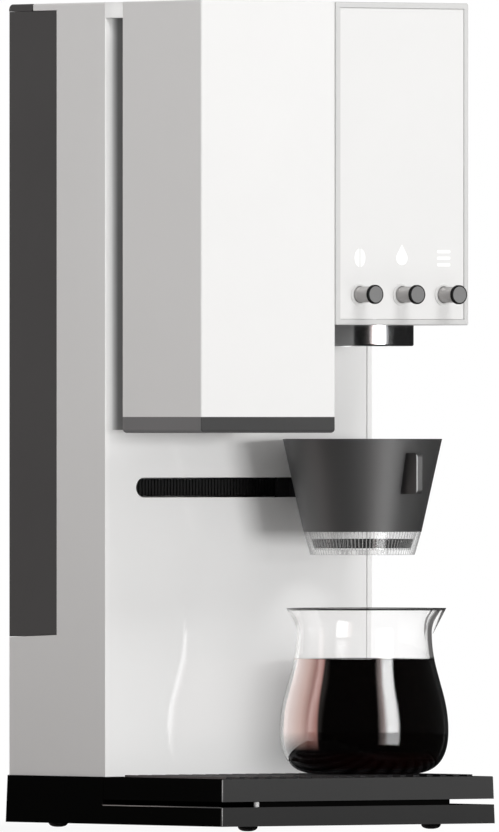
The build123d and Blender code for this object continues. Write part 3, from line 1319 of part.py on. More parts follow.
def icon_outlines():
    """Three plain signs: a bean, a drop and a stack of bars."""
    bean = Ellipse(BEAN_SIGN_HALF_WIDTH, BEAN_SIGN_HALF_HEIGHT)
    bean -= Rectangle(BEAN_SIGN_SLIT, 3 * BEAN_SIGN_HALF_HEIGHT)
    rise = DROP_SIGN_RADIUS ** 2 / DROP_SIGN_TIP
    half = math.sqrt(DROP_SIGN_RADIUS ** 2 - rise ** 2)
    drop = Circle(DROP_SIGN_RADIUS)
    drop += Polygon((-half, rise), (half, rise), (0, DROP_SIGN_TIP), align=None)
    bar = SlotOverall(BAR_SIGN_LENGTH, BAR_SIGN_HEIGHT)
    bars = Pos(0, -BAR_SIGN_PITCH) * bar + [bar, Pos(0, BAR_SIGN_PITCH) * bar]
    return [bean, drop, bars]


def icon_prisms(depth):
    """The three signs as solids set into the fascia's face."""
    height = KNOB_Z + ICON_RISE
    return [
        front_prism(outline, x, height, FASCIA_FRONT, FASCIA_FRONT + depth)
        for outline, x in zip(icon_outlines(), KNOB_XS)
    ]


def head_fascia():
    """The inset front of the brew head, with the knobs' holes and the signs' pockets."""
    gap = HEAD_WALL + PANEL_GAP
    plate = span(
        HEAD_LEFT + gap, COLUMN_SIDE - gap, FASCIA_FRONT, FASCIA_REAR,
        HEAD_BOTTOM + gap, MACHINE_HEIGHT - gap,
    )
    for x in KNOB_XS:
        hole = KNOB_COLLAR_RADIUS - KNOB_COLLAR_LIP
        plate -= along_y(hole, x, KNOB_Z, FASCIA_FRONT - 1, FASCIA_REAR + 1)
    return plate - icon_prisms(ICON_DEPTH)


def indicator_lenses():
    """Pale inlays that fill the signs' pockets."""
    return group(icon_prisms(ICON_DEPTH))


def knob_collars():
    """Three guide rings set into the fascia round the knobs."""
    collars = []
    sleeve = KNOB_COLLAR_RADIUS - KNOB_COLLAR_LIP - PRESSED
    for x in KNOB_XS:
        collar = along_y(KNOB_COLLAR_RADIUS, x, KNOB_Z, FASCIA_FRONT - KNOB_COLLAR_PROUD, FASCIA_FRONT)
        collar += along_y(sleeve, x, KNOB_Z, FASCIA_FRONT - PRESSED, FASCIA_REAR)
        collar -= along_y(KNOB_STEM_RADIUS + FIT, x, KNOB_Z, KNOB_FRONT, FASCIA_REAR + 1)
        collars.append(collar)
    return group(collars)


def knob(x):
    """A slim grooved stem with a wider cap, bored from behind for its shaft."""
    rear = BLOCK_FRONT + KNOB_SINK
    cap = KNOB_FRONT + KNOB_CAP_THICKNESS
    body = along_y(KNOB_STEM_RADIUS, x, KNOB_Z, cap - PRESSED, rear)
    disc = along_y(KNOB_CAP_RADIUS, x, KNOB_Z, KNOB_FRONT, cap)
    body += chamfer(disc.edges().group_by(Axis.Y)[0], 0.4)
    pitch = (KNOB_PROUD - KNOB_CAP_THICKNESS - 2) / KNOB_GROOVES
    for step in range(KNOB_GROOVES):
        y = cap + (step + 1) * pitch
        ring = along_y(KNOB_STEM_RADIUS + 1, x, KNOB_Z, y - pitch / 4, y + pitch / 4)
        body -= ring - along_y(KNOB_STEM_RADIUS - KNOB_GROOVE_DEPTH, x, KNOB_Z, y - pitch, y + pitch)
    return body - along_y(KNOB_SHAFT_RADIUS + RUNNING, x, KNOB_Z, KNOB_FRONT + KNOB_END_WALL, rear + 1)


def knob_shaft(x):
    """The encoder's plunger, which slides inwards and which the knob turns on."""
    front = KNOB_FRONT + KNOB_END_WALL + PRESSED
    rear = ENCODER_REAR - ENCODER_FLOOR - KNOB_TRAVEL - FIT
    return along_y(KNOB_SHAFT_RADIUS, x, KNOB_Z, front, rear)


def encoders():
    """Three encoder bodies, each bored for its plunger."""
    bodies = []
    outline = RectangleRounded(ENCODER_SIZE, ENCODER_SIZE, 1)
    floor = ENCODER_REAR - ENCODER_FLOOR
    for x in KNOB_XS:
        block = front_prism(outline, x, KNOB_Z, ENCODER_FRONT, ENCODER_REAR)
        bodies.append(block - along_y(KNOB_SHAFT_RADIUS + RUNNING, x, KNOB_Z, ENCODER_FRONT - 1, floor))
    return group(bodies)


def encoder_board():
    """The board behind the encoders, on four posts from the fascia."""
    half = KNOB_PITCH + ENCODER_SIZE
    rise = ENCODER_SIZE / 2
    low = KNOB_Z - rise - 1
    top = KNOB_Z + ICON_RISE + rise
    rear = ENCODER_REAR + BOARD_THICKNESS
    board = span(BREW_X - half, BREW_X + half, ENCODER_REAR, rear, low, top)
    for x in (BREW_X - half + 2, BREW_X + half - 2):
        for z in (low + 2, top - 2):
            board += along_y(2, x, z, FASCIA_REAR, ENCODER_REAR)
    return board


def brew_spout():
    """The bright ring under the head, with a neck up through its floor."""
    ring = upright(SPOUT_RADIUS, BREW_X, BLOCK_AXIS, SPOUT_BOTTOM, HEAD_BOTTOM)
    ring = fillet(ring.edges().group_by(Axis.Z)[0], EDGE_ROUND)
    ring += upright(SPOUT_NECK_RADIUS, BREW_X, BLOCK_AXIS, HEAD_BOTTOM - 1, SPOUT_NECK_TOP)
    ring -= upright(SPOUT_BORE, BREW_X, BLOCK_AXIS, SPOUT_BOTTOM - 1, HEAD_BOTTOM - SPOUT_ROOF)
    ring -= upright(SPOUT_NECK_BORE, BREW_X, BLOCK_AXIS, SPOUT_BOTTOM - 1, SPOUT_NECK_TOP + 1)
    seat = SPOUT_BOTTOM + SCREEN_RECESS + SCREEN_THICKNESS
    return ring - upright(SPOUT_BORE + SCREEN_LIP, BREW_X, BLOCK_AXIS, SPOUT_BOTTOM - 1, seat)


def shower_screen():
    """The pierced disc that spreads the water."""
    low = SPOUT_BOTTOM + SCREEN_RECESS
    top = low + SCREEN_THICKNESS
    disc = upright(SPOUT_BORE + SCREEN_LIP - PRESSED, BREW_X, BLOCK_AXIS, low, top)
    holes = [upright(SCREEN_HOLE, BREW_X, BLOCK_AXIS, low - 1, top + 1)]
    for ring in range(1, SCREEN_RINGS + 1):
        radius = SPOUT_BORE * ring / (SCREEN_RINGS + 1)
        for step in range(6 * ring):
            angle = math.radians(step * 60 / ring)
            x = BREW_X + radius * math.cos(angle)
            y = BLOCK_AXIS + radius * math.sin(angle)
            holes.append(upright(SCREEN_HOLE, x, y, low - 1, top + 1))
    return disc - holes


def water_manifold():
    """The cap over the spout's neck, with the brew hose's nipple."""
    top = MANIFOLD_TOP
    cap = upright(MANIFOLD_RADIUS, BREW_X, BLOCK_AXIS, SPOUT_NECK_TOP, top)
    cap = fillet(cap.edges().group_by(Axis.Z)[-1], HOSE_BORE)
    cap += upright(HOSE_BORE - RUNNING, BREW_X, BLOCK_AXIS, top - 1, top + NIPPLE_LENGTH)
    return cap - upright(SEAL_SECTION, BREW_X, BLOCK_AXIS, SPOUT_NECK_TOP - 1, top + NIPPLE_LENGTH + 1)


# Dripper


def dripper_cone_form(inset, low, top):
    """The dripper's cone between two heights, or its hollow when inset by the wall."""
    lean = (DRIPPER_RADIUS - DRIPPER_WAIST) / DRIPPER_CONE_HEIGHT
    lower = DRIPPER_WAIST + (low - DRIPPER_CONE_BOTTOM) * lean - inset
    upper = DRIPPER_WAIST + (top - DRIPPER_CONE_BOTTOM) * lean - inset
    return frustum(lower, upper, BREW_X, BLOCK_AXIS, low, top)


def dripper_cone():
    """The dark cone with its finger tab in front and its dock lug behind."""
    low = DRIPPER_CONE_BOTTOM
    cone = dripper_cone_form(0, low, DRIPPER_TOP)
    half = TAB_THICKNESS / 2
    tab_top = DRIPPER_TOP - TAB_DROP
    tip = BLOCK_AXIS - TAB_REACH
    tab = span(BREW_X - half, BREW_X + half, tip, BLOCK_AXIS, tab_top - TAB_HEIGHT, tab_top)
    tab = fillet(edges_along(tab, Axis.X, Axis.Y, 0), TAB_ROUND)
    cone += tab
    plate = RectangleRounded(DOCK_WIDTH, DOCK_HEIGHT, DOCK_STANDOFF)
    cone += front_prism(plate, BREW_X, DRIVE_Z, BLOCK_AXIS, LUG_FACE)
    cone -= dripper_cone_form(DRIPPER_WALL, low - 1, DRIPPER_TOP + 1)
    for side in (-1, 1):
        x = BREW_X + side * DOCK_PIN_PITCH / 2
        end = DOCK_FACE - DOCK_PIN_LENGTH - FIT
        cone -= along_y(DOCK_PIN_RADIUS + RUNNING, x, DRIVE_Z, end, LUG_FACE + 1)
    return cone


def ribbed_outline(radius):
    """A circle pleated into fine upright ribs."""
    points = []
    for step in range(2 * DRIPPER_RIBS):
        reach = radius - (step % 2) * DRIPPER_RIB_DEPTH
        angle = step * math.pi / DRIPPER_RIBS
        points.append((reach * math.cos(angle), reach * math.sin(angle)))
    return Polygon(*points, align=None)


def dripper_base():
    """The clear ribbed foot under the cone, with its drip holes."""
    low = DRIPPER_BOTTOM
    top = DRIPPER_CONE_BOTTOM
    body = loft(
        [
            Pos(BREW_X, BLOCK_AXIS, low) * ribbed_outline(DRIPPER_FOOT_RADIUS),
            Pos(BREW_X, BLOCK_AXIS, top) * ribbed_outline(DRIPPER_WAIST),
        ],
        ruled=True,
    )
    lower = DRIPPER_FOOT_RADIUS - DRIPPER_WALL
    upper = DRIPPER_WAIST - DRIPPER_WALL
    floor = low + DRIPPER_FLOOR
    body -= frustum(lower, upper, BREW_X, BLOCK_AXIS, floor, top + PRESSED)
    holes = [upright(DRIP_HOLE, BREW_X, BLOCK_AXIS, low - 1, floor + 1)]
    for step in range(DRIP_HOLE_COUNT):
        angle = step * 2 * math.pi / DRIP_HOLE_COUNT
        x = BREW_X + DRIP_HOLE_RING * math.cos(angle)
        y = BLOCK_AXIS + DRIP_HOLE_RING * math.sin(angle)
        holes.append(upright(DRIP_HOLE, x, y, low - 1, floor + 1))
    return body - holes


# Carafe


def carafe_form(inset):
    """The carafe's turned body, or its hollow when inset by the wall, with the beak."""
    foot = (CARAFE_FOOT_RADIUS, inset)
    belly = (CARAFE_BELLY_RADIUS - inset, CARAFE_BELLY_HEIGHT)
    throat = (CARAFE_NECK_RADIUS - inset, CARAFE_NECK_HEIGHT)
    rim = (CARAFE_RIM_RADIUS - inset, CARAFE_HEIGHT)
    wall = Spline(foot, belly, tangents=[(1, 0), (0, 1)])
    wall += Spline(belly, throat, tangents=[(0, 1), (0, 1)])
    wall += Spline(throat, rim, tangents=[(0, 1), (0.55, 1)])
    wall += Polyline(rim, (0, CARAFE_HEIGHT), (0, inset), foot)
    turned = revolve(Plane.XZ * make_face(wall), Axis.Z)
    reach = CARAFE_RIM_RADIUS + BEAK_REACH - BEAK_RADIUS
    beak = Pos(reach, 0, CARAFE_HEIGHT - BEAK_HEIGHT / 2) * Cone(
        inset / 4 + 0.2, BEAK_RADIUS - inset, BEAK_HEIGHT
    )
    form = turned + Rot(0, 0, BEAK_ANGLE) * beak
    return Pos(CARAFE_X, BLOCK_AXIS, CARAFE_BOTTOM) * form


def carafe():
    """A thin glass jug with a small pouring beak."""
    mouth = Pos(CARAFE_X, BLOCK_AXIS, CARAFE_BOTTOM + CARAFE_HEIGHT)
    return carafe_form(0) - carafe_form(CARAFE_WALL) - mouth * Cylinder(CARAFE_NECK_RADIUS, 1)


def build():
    """Every piece by its name."""
    pieces = {
        maker.__name__: maker
        for maker in (
            base_housing, feet, base_screws, load_cell, scale_platform, drip_grille,
            column_shell, column_panel, rear_cover, mains_inlet,
            water_tank, tank_lid, tank_lid_pins, tank_coupling, tank_seal,
            pump, heater, water_hoses, control_board,
            drive_belt, drive_pulley, idler_pulley, idler_pin, drive_motor, guide_rods,
            rail_brackets, carriage, carriage_bushes, dock_arm,
            neck, top_bridge, grinder_housing, grinder_trim, bean_lid, bean_lid_pin,
            bean_hopper, grinder_shelf, burr_chamber, outer_burr, inner_burr,
            grinder_motor, grounds_chute,
            head_shell, head_fascia, indicator_lenses, knob_collars, encoders, encoder_board,
            brew_spout, shower_screen, water_manifold,
            dripper_cone, dripper_base, carafe,
        )
    }
    shapes = {name: maker() for name, maker in pieces.items()}
    for name, x in zip(("left", "middle", "right"), KNOB_XS):
        shapes["knob_" + name] = knob(x)
        shapes["knob_shaft_" + name] = knob_shaft(x)
    return shapes


os.makedirs("parts", exist_ok=True)
for piece_name, piece_shape in build().items():
    export_step(piece_shape, "parts/" + piece_name + ".step")
    print(piece_name, len(piece_shape.solids()), round(piece_shape.volume))
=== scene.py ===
# %% [markdown]
# # A pour-over coffee machine with its own grinder
# The solids of the machine are already packed, so this lesson only dresses them: it sets a
# camera and studio light, gives every piece its finish, and makes a few pieces, such as the
# knobs, the feet and the coffee, as fine surfaces. Each surface is worked out with numpy as a
# function of two parameters, because a turned shape is one line of arithmetic that way.

import json
import math

import bpy
import numpy as np
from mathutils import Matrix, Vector


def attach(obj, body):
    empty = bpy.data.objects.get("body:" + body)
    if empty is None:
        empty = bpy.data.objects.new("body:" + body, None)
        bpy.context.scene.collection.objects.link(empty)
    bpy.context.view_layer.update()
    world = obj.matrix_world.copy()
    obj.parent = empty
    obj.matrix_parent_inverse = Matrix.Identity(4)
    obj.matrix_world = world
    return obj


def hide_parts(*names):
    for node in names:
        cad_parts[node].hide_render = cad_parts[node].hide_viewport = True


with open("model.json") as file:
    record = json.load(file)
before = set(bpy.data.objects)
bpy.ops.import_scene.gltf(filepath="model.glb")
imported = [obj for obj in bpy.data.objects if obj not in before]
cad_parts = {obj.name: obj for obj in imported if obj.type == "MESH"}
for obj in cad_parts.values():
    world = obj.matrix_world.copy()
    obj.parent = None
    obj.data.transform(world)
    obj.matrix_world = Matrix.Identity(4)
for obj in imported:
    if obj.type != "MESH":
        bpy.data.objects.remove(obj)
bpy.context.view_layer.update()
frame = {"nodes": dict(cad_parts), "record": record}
nodes = frame["nodes"]
MM = 0.001

# %% [markdown]
# ## Camera
# The picture looks level at the machine from the front, turned a little to its left, and
# upright edges stay parallel. A camera without perspective would do it too, but a very long
# lens from far away gives nearly the same look, and it still lets the other views move the
# camera round the machine.

# %% Camera
IMAGE_HEIGHT = 832
PIXELS_PER_MM = 1.8735
LENS = 1000.0
SENSOR = 36.0
NEAR, FAR = 1.0, 40.0
AIM = Vector((-0.0002, 0.0, 0.2199))
TOWARDS_MACHINE = Vector((0.6, 0.8, 0.0))

field_height = IMAGE_HEIGHT / PIXELS_PER_MM * MM
camera_distance = field_height * LENS / SENSOR
camera_data = bpy.data.cameras.new("camera")
camera_data.lens = LENS
camera_data.sensor_width = SENSOR
camera_data.clip_start = NEAR
camera_data.clip_end = FAR
camera = bpy.data.objects.new("camera", camera_data)
camera.location = AIM - TOWARDS_MACHINE * camera_distance
camera.rotation_euler = TOWARDS_MACHINE.to_track_quat("-Z", "Y").to_euler()
bpy.context.scene.collection.objects.link(camera)
bpy.context.scene.camera = camera
bpy.context.scene.view_settings.view_transform = "Standard"
print("camera stands", round(camera_distance, 2), "m away")

# %% [markdown]
# ## Studio
# The machine stands in a white sweep. Soft light comes from all round, and the stronger lamps
# stand in front and above, so that the front faces are bright and the left faces lie in shade.
# Node trees could be drawn by hand. A small builder writes them as calls instead, which keeps
# the later cells short: each call adds a node, joins its inputs and gives back its result.


# %% Node helper
class Tree:
    """A node tree that is written as calls: inputs are sockets, nodes or plain values."""

    def __init__(self, owner):
        owner.use_nodes = True
        self.tree = owner.node_tree
        self.tree.nodes.clear()

    def node(self, kind, inputs=None, **settings):
        made = self.tree.nodes.new(kind)
        for name, value in settings.items():
            setattr(made, name, value)
        for name, value in (inputs or {}).items():
            self.join(value, made.inputs[name])
        return made

    def join(self, value, socket):
        """Link a socket or a node's first output, or set a plain value."""
        if isinstance(value, bpy.types.Node):
            value = value.outputs[0]
        if isinstance(value, bpy.types.NodeSocket):
            self.tree.links.new(value, socket)
        else:
            socket.default_value = value

    def surface(self, shader, output="ShaderNodeOutputMaterial"):
        """Make the shader the tree's result."""
        self.join(shader, self.node(output).inputs["Surface"])

    def place(self):
        """The point on the piece, in its own coordinates."""
        return self.node("ShaderNodeTexCoord").outputs["Object"]

    def rays(self):
        """What kind of ray asks, and how often it has been mirrored or scattered."""
        return self.node("ShaderNodeLightPath").outputs

    def parts(self, vector):
        """The X, Y and Z of a vector."""
        return self.node("ShaderNodeSeparateXYZ", {0: vector}).outputs

    def number(self, operation, *values, clamp=False):
        """The number that an operation makes of numbers."""
        inputs = dict(enumerate(values))
        return self.node("ShaderNodeMath", inputs, operation=operation, use_clamp=clamp).outputs[0]

    def vector(self, operation, *values):
        """The vector that an operation makes of vectors."""
        return self.node("ShaderNodeVectorMath", dict(enumerate(values)), operation=operation).outputs[0]

    def measure(self, operation, *values):
        """The number that an operation makes of vectors, such as a distance."""
        made = self.node("ShaderNodeVectorMath", dict(enumerate(values)), operation=operation)
        return made.outputs["Value"]

    def scaled(self, vector, factor):
        """The vector or colour times a number."""
        return self.node("ShaderNodeVectorMath", {0: vector, "Scale": factor}, operation="SCALE").outputs[0]

    def ranged(self, value, low, high, start=0.0, end=1.0):
        """start where the value is low or less, end where it is high or more, and evenly between."""
        limits = {"From Min": low, "From Max": high, "To Min": start, "To Max": end}
        return self.node("ShaderNodeMapRange", {"Value": value, **limits}).outputs[0]

    def noise(self, place, scale, detail=2.0):
        """Soft noise from 0 to 1, with scale waves to the metre."""
        inputs = {"Vector": place, "Scale": scale, "Detail": detail}
        return self.node("ShaderNodeTexNoise", inputs).outputs[0]

    def mixed(self, factor, first, second):
        """The colour first where the factor is 0 and second where it is 1."""
        return self.node("ShaderNodeMix", {0: factor, 6: first, 7: second}, data_type="RGBA").outputs[2]

    def ramp(self, value, stops):
        """The colour at a value from 0 to 1, blended between stops of (position, colour)."""
        made = self.node("ShaderNodeValToRGB", {"Fac": value})
        elements = made.color_ramp.elements
        while len(elements) < len(stops):
            elements.new(0.5)
        for element, (position, colour) in zip(elements, stops):
            element.position = position
            element.color = colour
        return made.outputs[0]


# %% [markdown]
# The surroundings answer each kind of ray in its own way. The camera sees plain white, and
# clear pieces let nearly the same white through. Soft light on the surfaces is one warm, even
# level. Mirror-like surfaces see a dark studio with a pale left wall, a tall white card at the
# front and the white sweep behind, because polished metal and dark liquid are drawn by what
# they mirror. Real cards could stand round the machine, but they would show in other views.
# The angle round the machine is counted from the camera's side, positive to the right.

# %% Colours of the room
AMBIENT = (0.410, 0.406, 0.403, 1.0)
WHITE = (1.0, 1.0, 1.0, 1.0)
DARK = (0.0, 0.0, 0.0, 1.0)
DIM = (0.008, 0.008, 0.008, 1.0)
GLOOM = (0.016, 0.016, 0.016, 1.0)
SWEEP_EDGE = (0.90, 0.86, 0.84, 1.0)
LEFT_WALL = (0.45, 0.42, 0.41, 1.0)
WALL_END = (0.20, 0.18, 0.17, 1.0)
LEFT_CARD = (0.22, 0.19, 0.185, 1.0)
BLUSH = (0.30, 0.25, 0.24, 1.0)
ROOM = [(-180, WHITE), (-150, SWEEP_EDGE), (-110, LEFT_WALL), (-66, WALL_END),
        (-60, DIM), (51, DIM), (70, GLOOM), (179, GLOOM)]
CARDS = [(-150, DARK), (-140, LEFT_CARD), (-80, LEFT_CARD), (-72, DARK),
         (19, DARK), (28, BLUSH), (34, WHITE), (48, WHITE), (51, DARK)]
# The cards fade in and out between these heights of the ray's direction.
CARD_FOOT = (-0.36, -0.30)
CARD_TOP = (0.55, 0.60)
CARD_STRENGTH = 9.0
ROOM_THROUGH_GLASS = 0.03
TO_THE_RIGHT = Vector((0.8, -0.6, 0.0))
print("room:", len(ROOM), "stops, cards:", len(CARDS), "stops")


# %% White surroundings
def by_angle(stops):
    """Ramp positions for angles: -180 degrees is 0 and 180 degrees is 1."""
    return [((degrees + 180) / 360, colour) for degrees, colour in stops]


world = bpy.data.worlds.new("studio")
bpy.context.scene.world = world
t = Tree(world)
rays = t.rays()
direction = t.node("ShaderNodeTexCoord").outputs["Generated"]
ahead = t.measure("DOT_PRODUCT", direction, -TOWARDS_MACHINE)
beside = t.measure("DOT_PRODUCT", direction, TO_THE_RIGHT)
turn = t.ranged(t.number("ARCTAN2", beside, ahead), -math.pi, math.pi)
rise = t.parts(direction)["Z"]
above_foot = t.ranged(rise, *CARD_FOOT)
below_top = t.ranged(rise, *CARD_TOP, CARD_STRENGTH, 0.0)
cards = t.scaled(t.ramp(turn, by_angle(CARDS)), t.number("MULTIPLY", above_foot, below_top))
room = t.ramp(turn, by_angle(ROOM))
mirrored = t.vector("ADD", room, cards)
through = t.mixed(ROOM_THROUGH_GLASS, WHITE, room)
colour = t.mixed(rays["Is Transmission Ray"], AMBIENT, through)
colour = t.mixed(rays["Glossy Depth"], colour, mirrored)
colour = t.mixed(rays["Diffuse Depth"], colour, AMBIENT)
colour = t.mixed(rays["Is Camera Ray"], colour, WHITE)
t.surface(t.node("ShaderNodeBackground", {"Color": colour}), "ShaderNodeOutputWorld")
print("ambient level", AMBIENT[0])

# %% [markdown]
# Lamps add to the soft light. One stands in front, nearly level with the machine, so that the
# pieces throw short shadows on the panel behind them. One above the front rounds the shadows
# off downwards, and a weak one lifts the left faces. Two tiny strips, in the gap behind the
# grinder and under the bridge above it, stand for the light that comes in there. All are
# hidden from mirrors and glass, which see the cards instead.

# %% Lamps
# Each row holds name, place, aim, width, height (metres) and power (watts).
LAMPS = [
    ("front_lamp", (0.140, -2.396, 0.270), AIM, 0.85, 0.30, 23.5),
    ("top_lamp", (0.10, -1.20, 1.82), AIM, 0.8, 0.5, 13.5),
    ("left_lamp", (-1.60, 0.0, 0.75), AIM, 0.8, 0.8, 4.4),
    ("gap_lamp", (-0.0885, 0.0005, 0.3180), (-0.0875, 0.0095, 0.3180), 0.005, 0.220, 0.0056),
    ("bridge_lamp", (-0.0885, 0.0005, 0.4358), (-0.0840, 0.0060, 0.4358), 0.005, 0.0080, 0.00014),
]


def area_lamp(name, place, aim, width, height, power):
    """A rectangular lamp at place that faces the point aim."""
    data = bpy.data.lights.new(name, "AREA")
    data.shape = "RECTANGLE"
    data.size, data.size_y = width, height
    data.energy = power
    made = bpy.data.objects.new(name, data)
    made.location = place
    made.rotation_euler = (Vector(aim) - Vector(place)).to_track_quat("-Z", "Y").to_euler()
    made.visible_camera = False
    made.visible_glossy = False
    made.visible_transmission = False
    bpy.context.scene.collection.objects.link(made)
    print(name, power, "W")


for lamp in LAMPS:
    area_lamp(*lamp)

# %% [markdown]
# The floor is a sheet of paper. Far from the machine it is as white as the sweep; close by it
# keeps part of the machine's shadow, and its colour there is a painted shade, darker towards a
# point behind the machine's left, so that it sends back less light, as a floor in shade does.
# A plain white sheet would be simpler, but its light would wash out the shade under the base.

# %% Floor
FLOOR_SIZE = 3.0
SHADE_CENTRE = (-0.26, 0.12, 0.0)
# Distances from that centre (metres), and the paper's painted shade or white share at either end.
SHADE_REACH = (0.10, 0.60)
SHADE_DARK = (0.18, 0.17, 0.165, 1.0)
SHADE_PALE = (0.84, 0.835, 0.83, 1.0)
BLANK_REACH = (0.10, 0.40)
BLANK_SHARE = (0.90, 1.0)
MOTTLE_SCALE = 40.0
MOTTLE = (0.96, 1.0)
UNDER_ONE_BOUNCE = 0.5

half = FLOOR_SIZE / 2
corners = [(-half, -half, 0), (half, -half, 0), (half, half, 0), (-half, half, 0)]
floor_mesh = bpy.data.meshes.new("floor")
floor_mesh.from_pydata(corners, [], [(0, 1, 2, 3)])
floor = bpy.data.objects.new("floor", floor_mesh)
bpy.context.scene.collection.objects.link(floor)
paper = bpy.data.materials.new("white_paper")
t = Tree(paper)
rays = t.rays()
place = t.place()
distance = t.measure("DISTANCE", place, SHADE_CENTRE)
shade = t.mixed(t.ranged(distance, *SHADE_REACH), SHADE_DARK, SHADE_PALE)
mottle = t.ranged(t.noise(place, MOTTLE_SCALE), 0.0, 1.0, *MOTTLE)
unmirrored = t.number("LESS_THAN", rays["Glossy Depth"], UNDER_ONE_BOUNCE)
tone = t.scaled(shade, t.number("MULTIPLY", mottle, unmirrored))
shaded = t.node("ShaderNodeBsdfDiffuse", {"Color": tone})
glow = t.node("ShaderNodeEmission", {"Color": WHITE, "Strength": 1.0})
looked_at = t.number("MAXIMUM", rays["Is Camera Ray"], rays["Is Transmission Ray"])
bounces = t.number("ADD", rays["Diffuse Depth"], rays["Glossy Depth"])
seen = t.number("MULTIPLY", looked_at, t.number("LESS_THAN", bounces, UNDER_ONE_BOUNCE))
share = t.number("MULTIPLY", seen, t.ranged(distance, *BLANK_REACH, *BLANK_SHARE))
t.surface(t.node("ShaderNodeMixShader", {0: share, 1: shaded, 2: glow}))
floor_mesh.materials.append(paper)
floor.visible_glossy = False
print("floor", FLOOR_SIZE, "m wide")

# %% [markdown]
# ## Finishes
# Most pieces are moulded plastic: one colour that drifts a little, a faint grain in the
# surface and a roughness that isn't quite even. One helper makes all of them from Object
# coordinates, so that the grain stays put when a piece moves. Colour, grain and gloss differ
# from finish to finish. Some pieces carry painted light and shade on part of their surface.
# Such a piece could be cut in two, but its solid stays whole, so the helper also paints boxes
# of space in a colour of their own.


# %% Painted light and shade on one piece
def grey(level):
    """A neutral colour."""
    return (level, level, level)


def box_mask(tree, place, low, high):
    """1 inside the box between two corners (mm), else 0: no axis is further out than its half size."""
    low, high = np.asarray(low, float), np.asarray(high, float)
    centre, half_size = (low + high) / 2 * MM, (high - low) / 2 * MM
    offset = tree.vector("SUBTRACT", place, tuple(centre))
    size = tree.parts(tree.vector("ABSOLUTE", tree.vector("DIVIDE", offset, tuple(half_size))))
    widest = tree.number("MAXIMUM", tree.number("MAXIMUM", size["X"], size["Y"]), size["Z"])
    return tree.number("LESS_THAN", widest, 1.0)


FAR_LOW, FAR_RIGHT, FAR_UP = (-500, -500, -500), 500, 1000


def ahead_of(y, colour, top=FAR_UP):
    """The box of everything in front of y and below top (mm), in that colour."""
    return (FAR_LOW, (FAR_RIGHT, y, top), colour)


# %% Moulded finish
CLOUD_SCALE, CLOUD_DETAIL, CLOUD_SPAN = 14.0, 3.0, (0.3, 0.7)
ROUGHNESS_DRIFT, LEAST_ROUGHNESS = 0.05, 0.02
BUMP_STRENGTH = 0.3
COAT_ROUGHNESS = 0.6


def moulded(name, colour, roughness, drift=0.03, grain=900.0, depth=0.02, specular=0.5, metal=0.0,
            glow=0.0, coat=0.0, boxes=()):
    """A moulded or cast finish: base colour times (1 +- drift) by soft noise, bump by fine noise.

    boxes holds (low corner, high corner, colour): inside each box (mm) the piece has that colour, as
    painted light and shade.
    """
    material = bpy.data.materials.new(name)
    t = Tree(material)
    place = t.place()
    tone = colour
    for low, high, paint in boxes:
        outside = tone + (1,) if tone is colour else tone
        tone = t.mixed(box_mask(t, place, low, high), outside, paint + (1,))
    clouds = t.noise(place, CLOUD_SCALE, CLOUD_DETAIL)
    mottled = t.scaled(tone, t.ranged(clouds, *CLOUD_SPAN, 1 - drift, 1 + drift))
    fine = t.noise(place, grain)
    smoothest = max(roughness - ROUGHNESS_DRIFT, LEAST_ROUGHNESS)
    gloss = t.ranged(fine, 0.0, 1.0, smoothest, roughness + ROUGHNESS_DRIFT)
    bump = t.node("ShaderNodeBump", {"Height": fine, "Strength": BUMP_STRENGTH, "Distance": depth * MM})
    t.surface(t.node("ShaderNodeBsdfPrincipled", {
        "Base Color": mottled, "Roughness": gloss, "Normal": bump, "Metallic": metal,
        "Specular IOR Level": specular, "Emission Color": WHITE, "Emission Strength": glow,
        "Coat Weight": coat, "Coat Roughness": COAT_ROUGHNESS}))
    return material


# %% [markdown]
# Clear pieces are glass to the eye, but a lamp's light should reach what stands inside them.
# Real glass would need many samples for that. A mix that swaps the glass for a plain clear
# shader on shadow rays does it at once, and soft noise in the roughness keeps the polish from
# being perfect. The carafe's rim is painted dark, a painted shade for how a melted edge looks
# from the side, and a faint painted glow lies on the glass above the coffee.

# %% Clear finish
# Painted shade: the carafe's rim is painted dark. Painted glow: the glass above the coffee glows faintly.
RIM_PAINTED_SHADE = (0.03, 0.03, 0.03, 1.0)
RIM_BLUR = 0.0002
GLASS_PAINTED_GLOW, GLOW_BLUR, GLOW_TINT = 0.042, 0.001, (1.0, 0.97, 0.96, 1.0)
POLISH_SCALE = 30.0


def clear(name, tint, ior, roughness, veil, rim, glow_from):
    """Glass with a slightly uneven polish, which lets the lamps' light through.

    Above the height rim (metres) it is painted dark, a painted shade. Between the height where the glow
    starts and rim it has a faint painted glow.
    """
    material = bpy.data.materials.new(name)
    t = Tree(material)
    place = t.place()
    polish = t.ranged(t.noise(place, POLISH_SCALE), 0.0, 1.0, roughness, roughness + veil)
    height = t.parts(place)["Z"]
    tone = t.mixed(t.ranged(height, rim - RIM_BLUR, rim + RIM_BLUR), tint + (1,), RIM_PAINTED_SHADE)
    above_coffee = t.ranged(height, glow_from, glow_from + GLOW_BLUR, 0.0, GLASS_PAINTED_GLOW)
    below_rim = t.ranged(height, rim - GLOW_BLUR, rim, GLASS_PAINTED_GLOW, 0.0)
    glass = t.node("ShaderNodeBsdfPrincipled", {
        "Base Color": tone, "Roughness": polish, "IOR": ior, "Transmission Weight": 1.0,
        "Emission Color": GLOW_TINT, "Emission Strength": t.number("MINIMUM", above_coffee, below_rim)})
    open_way = t.node("ShaderNodeBsdfTransparent", {"Color": WHITE})
    t.surface(t.node("ShaderNodeMixShader", {0: t.rays()["Is Shadow Ray"], 1: glass, 2: open_way}))
    return material
